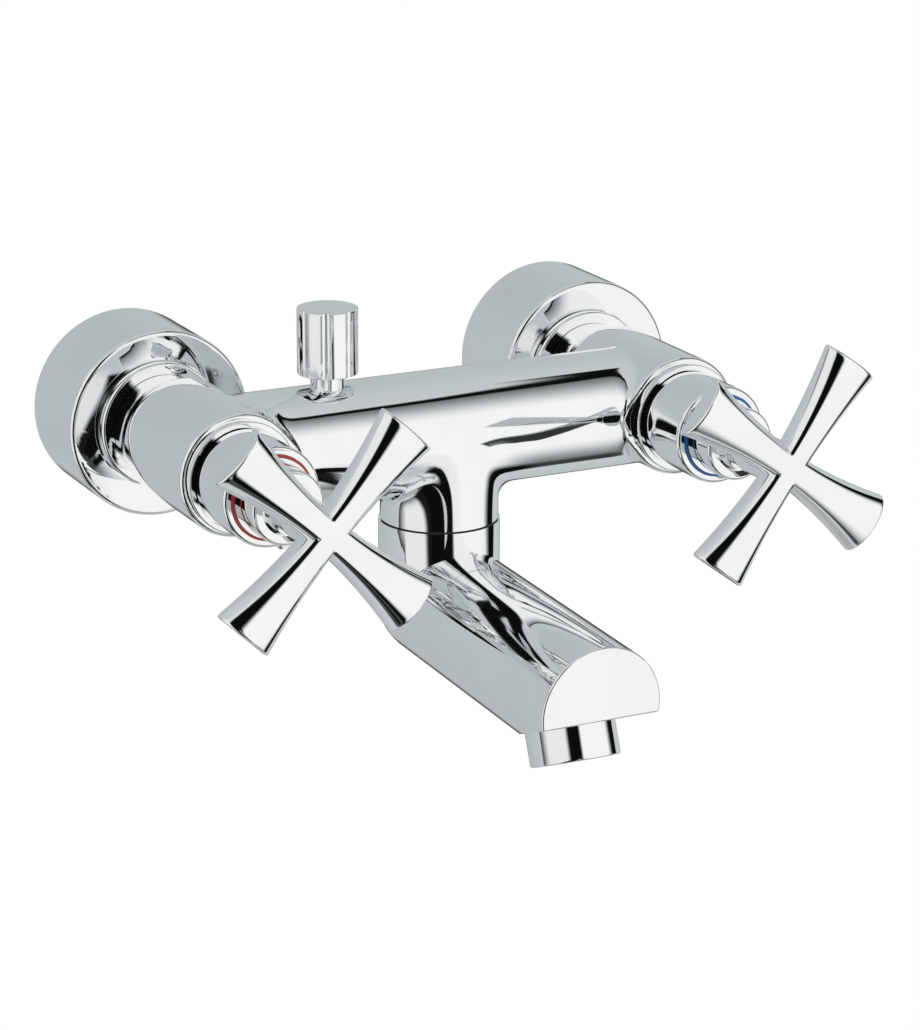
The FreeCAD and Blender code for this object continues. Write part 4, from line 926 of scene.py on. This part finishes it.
def make_world(scene):
    """Grey studio walls with soft panels and black flags, white to the camera itself."""
    world = bpy.data.worlds.new("studio")
    scene.world = world
    world.use_nodes = True
    tree = world.node_tree
    link = tree.links.new

    def math_node(operation, *values):
        """A calculation on one or two numbers or sockets."""
        node = tree.nodes.new("ShaderNodeMath")
        node.operation = operation
        for socket, value in zip(node.inputs, values):
            if isinstance(value, (int, float)):
                socket.default_value = value
            else:
                link(value, socket)
        return node.outputs["Value"]

    def past(edge, angle):
        """0 before a panel's edge, 1 past it, and soft between."""
        if edge.lean:
            angle = math_node("SUBTRACT", angle, math_node("MULTIPLY", elevation, edge.lean))
        node = tree.nodes.new("ShaderNodeMapRange")
        node.interpolation_type = "SMOOTHSTEP"
        node.inputs["From Min"].default_value = math.radians(edge.place - edge.soft)
        node.inputs["From Max"].default_value = math.radians(edge.place + edge.soft)
        link(angle, node.inputs["Value"])
        return node.outputs["Result"]

    def between(near, far, angle):
        """1 between two edges of a panel, and 0 outside them."""
        return math_node("MULTIPLY", past(near, angle),
                         math_node("SUBTRACT", 1.0, past(far, angle)))

    coordinates = tree.nodes.new("ShaderNodeTexCoord")
    split = tree.nodes.new("ShaderNodeSeparateXYZ")
    link(coordinates.outputs["Generated"], split.inputs["Vector"])
    ahead = math_node("MULTIPLY", split.outputs["Y"], -1.0)
    azimuth = math_node("ARCTAN2", split.outputs["X"], ahead)
    elevation = math_node("ARCSINE", split.outputs["Z"])
    level = finishes().surroundings
    for panel in STUDIO_PANELS:
        mask = math_node("MULTIPLY", between(panel.left, panel.right, azimuth),
                         between(panel.low, panel.high, elevation))
        change = math_node("MULTIPLY", mask, math_node("SUBTRACT", panel.level, level))
        level = math_node("ADD", level, change)
    tints = tree.nodes.new("ShaderNodeValToRGB")
    for element, tint in zip(tints.color_ramp.elements, (BLACK, WHITE)):
        element.color = opaque(tint)
    for place, tint in ((WALL_LEVEL, finishes().wall_tint), (PAPER_LEVEL, [PAPER_LEVEL] * 3)):
        tints.color_ramp.elements.new(place).color = opaque(tint)
    link(level, tints.inputs["Fac"])
    studio = tree.nodes["Background"]
    link(tints.outputs["Color"], studio.inputs["Color"])
    paper = tree.nodes.new("ShaderNodeBackground")
    paper.inputs["Color"].default_value = opaque(WHITE)
    show_to_camera(tree, paper.outputs["Background"], studio.outputs["Background"],
                   tree.nodes["World Output"])


def make_camera(scene):
    """The camera at the photograph's viewing angle."""
    size = sizes()
    azimuth, elevation, roll = size.camera_azimuth, size.camera_elevation, size.camera_roll
    back = Vector((math.sin(azimuth) * math.cos(elevation),
                   -math.cos(azimuth) * math.cos(elevation), math.sin(elevation)))
    level_right = Vector((math.cos(azimuth), math.sin(azimuth), 0.0))
    level_up = back.cross(level_right)
    right = level_right * math.cos(roll) + level_up * math.sin(roll)
    up = level_up * math.cos(roll) - level_right * math.sin(roll)
    data = bpy.data.cameras.new("photo_camera")
    data.sensor_width = SENSOR_WIDTH
    data.lens = size.camera_lens
    data.clip_start = CAMERA_NEAR
    camera = bpy.data.objects.new("photo_camera", data)
    scene.collection.objects.link(camera)
    turn = Matrix((right, up, back)).transposed().to_4x4()
    camera.matrix_world = Matrix.Translation(
        Vector(size.camera_target) + back * size.camera_distance) @ turn
    scene.camera = camera


class TAP_PT_panel(bpy.types.Panel):
    """Lists the steps that dress the tap"""

    bl_idname = "TAP_PT_panel"
    bl_label = "Mixer tap"
    bl_space_type = "VIEW_3D"
    bl_region_type = "UI"
    bl_category = "Mixer tap"

    def draw(self, context):
        for operator in OPERATORS:
            self.layout.operator(operator.bl_idname)


OPERATORS = (TAP_OT_handles, TAP_OT_castings, TAP_OT_inner_pieces, TAP_OT_stage)
CLASSES = (TapSizes, TapFinishes, *OPERATORS, TAP_PT_panel)


def register():
    """Registers the classes and hangs the settings on the scene."""
    for item in CLASSES:
        bpy.utils.register_class(item)
    bpy.types.Scene.tap_sizes = PointerProperty(type=TapSizes)
    bpy.types.Scene.tap_finishes = PointerProperty(type=TapFinishes)


def unregister():
    """Takes the settings off the scene and unregisters the classes."""
    del bpy.types.Scene.tap_finishes
    del bpy.types.Scene.tap_sizes
    for item in reversed(CLASSES):
        bpy.utils.unregister_class(item)


def main():
    """Dresses the tap and sets the stage."""
    register()
    bpy.ops.tap.handles()
    bpy.ops.tap.castings()
    bpy.ops.tap.inner_pieces()
    bpy.ops.tap.stage()


if __name__ == "__main__":
    main()
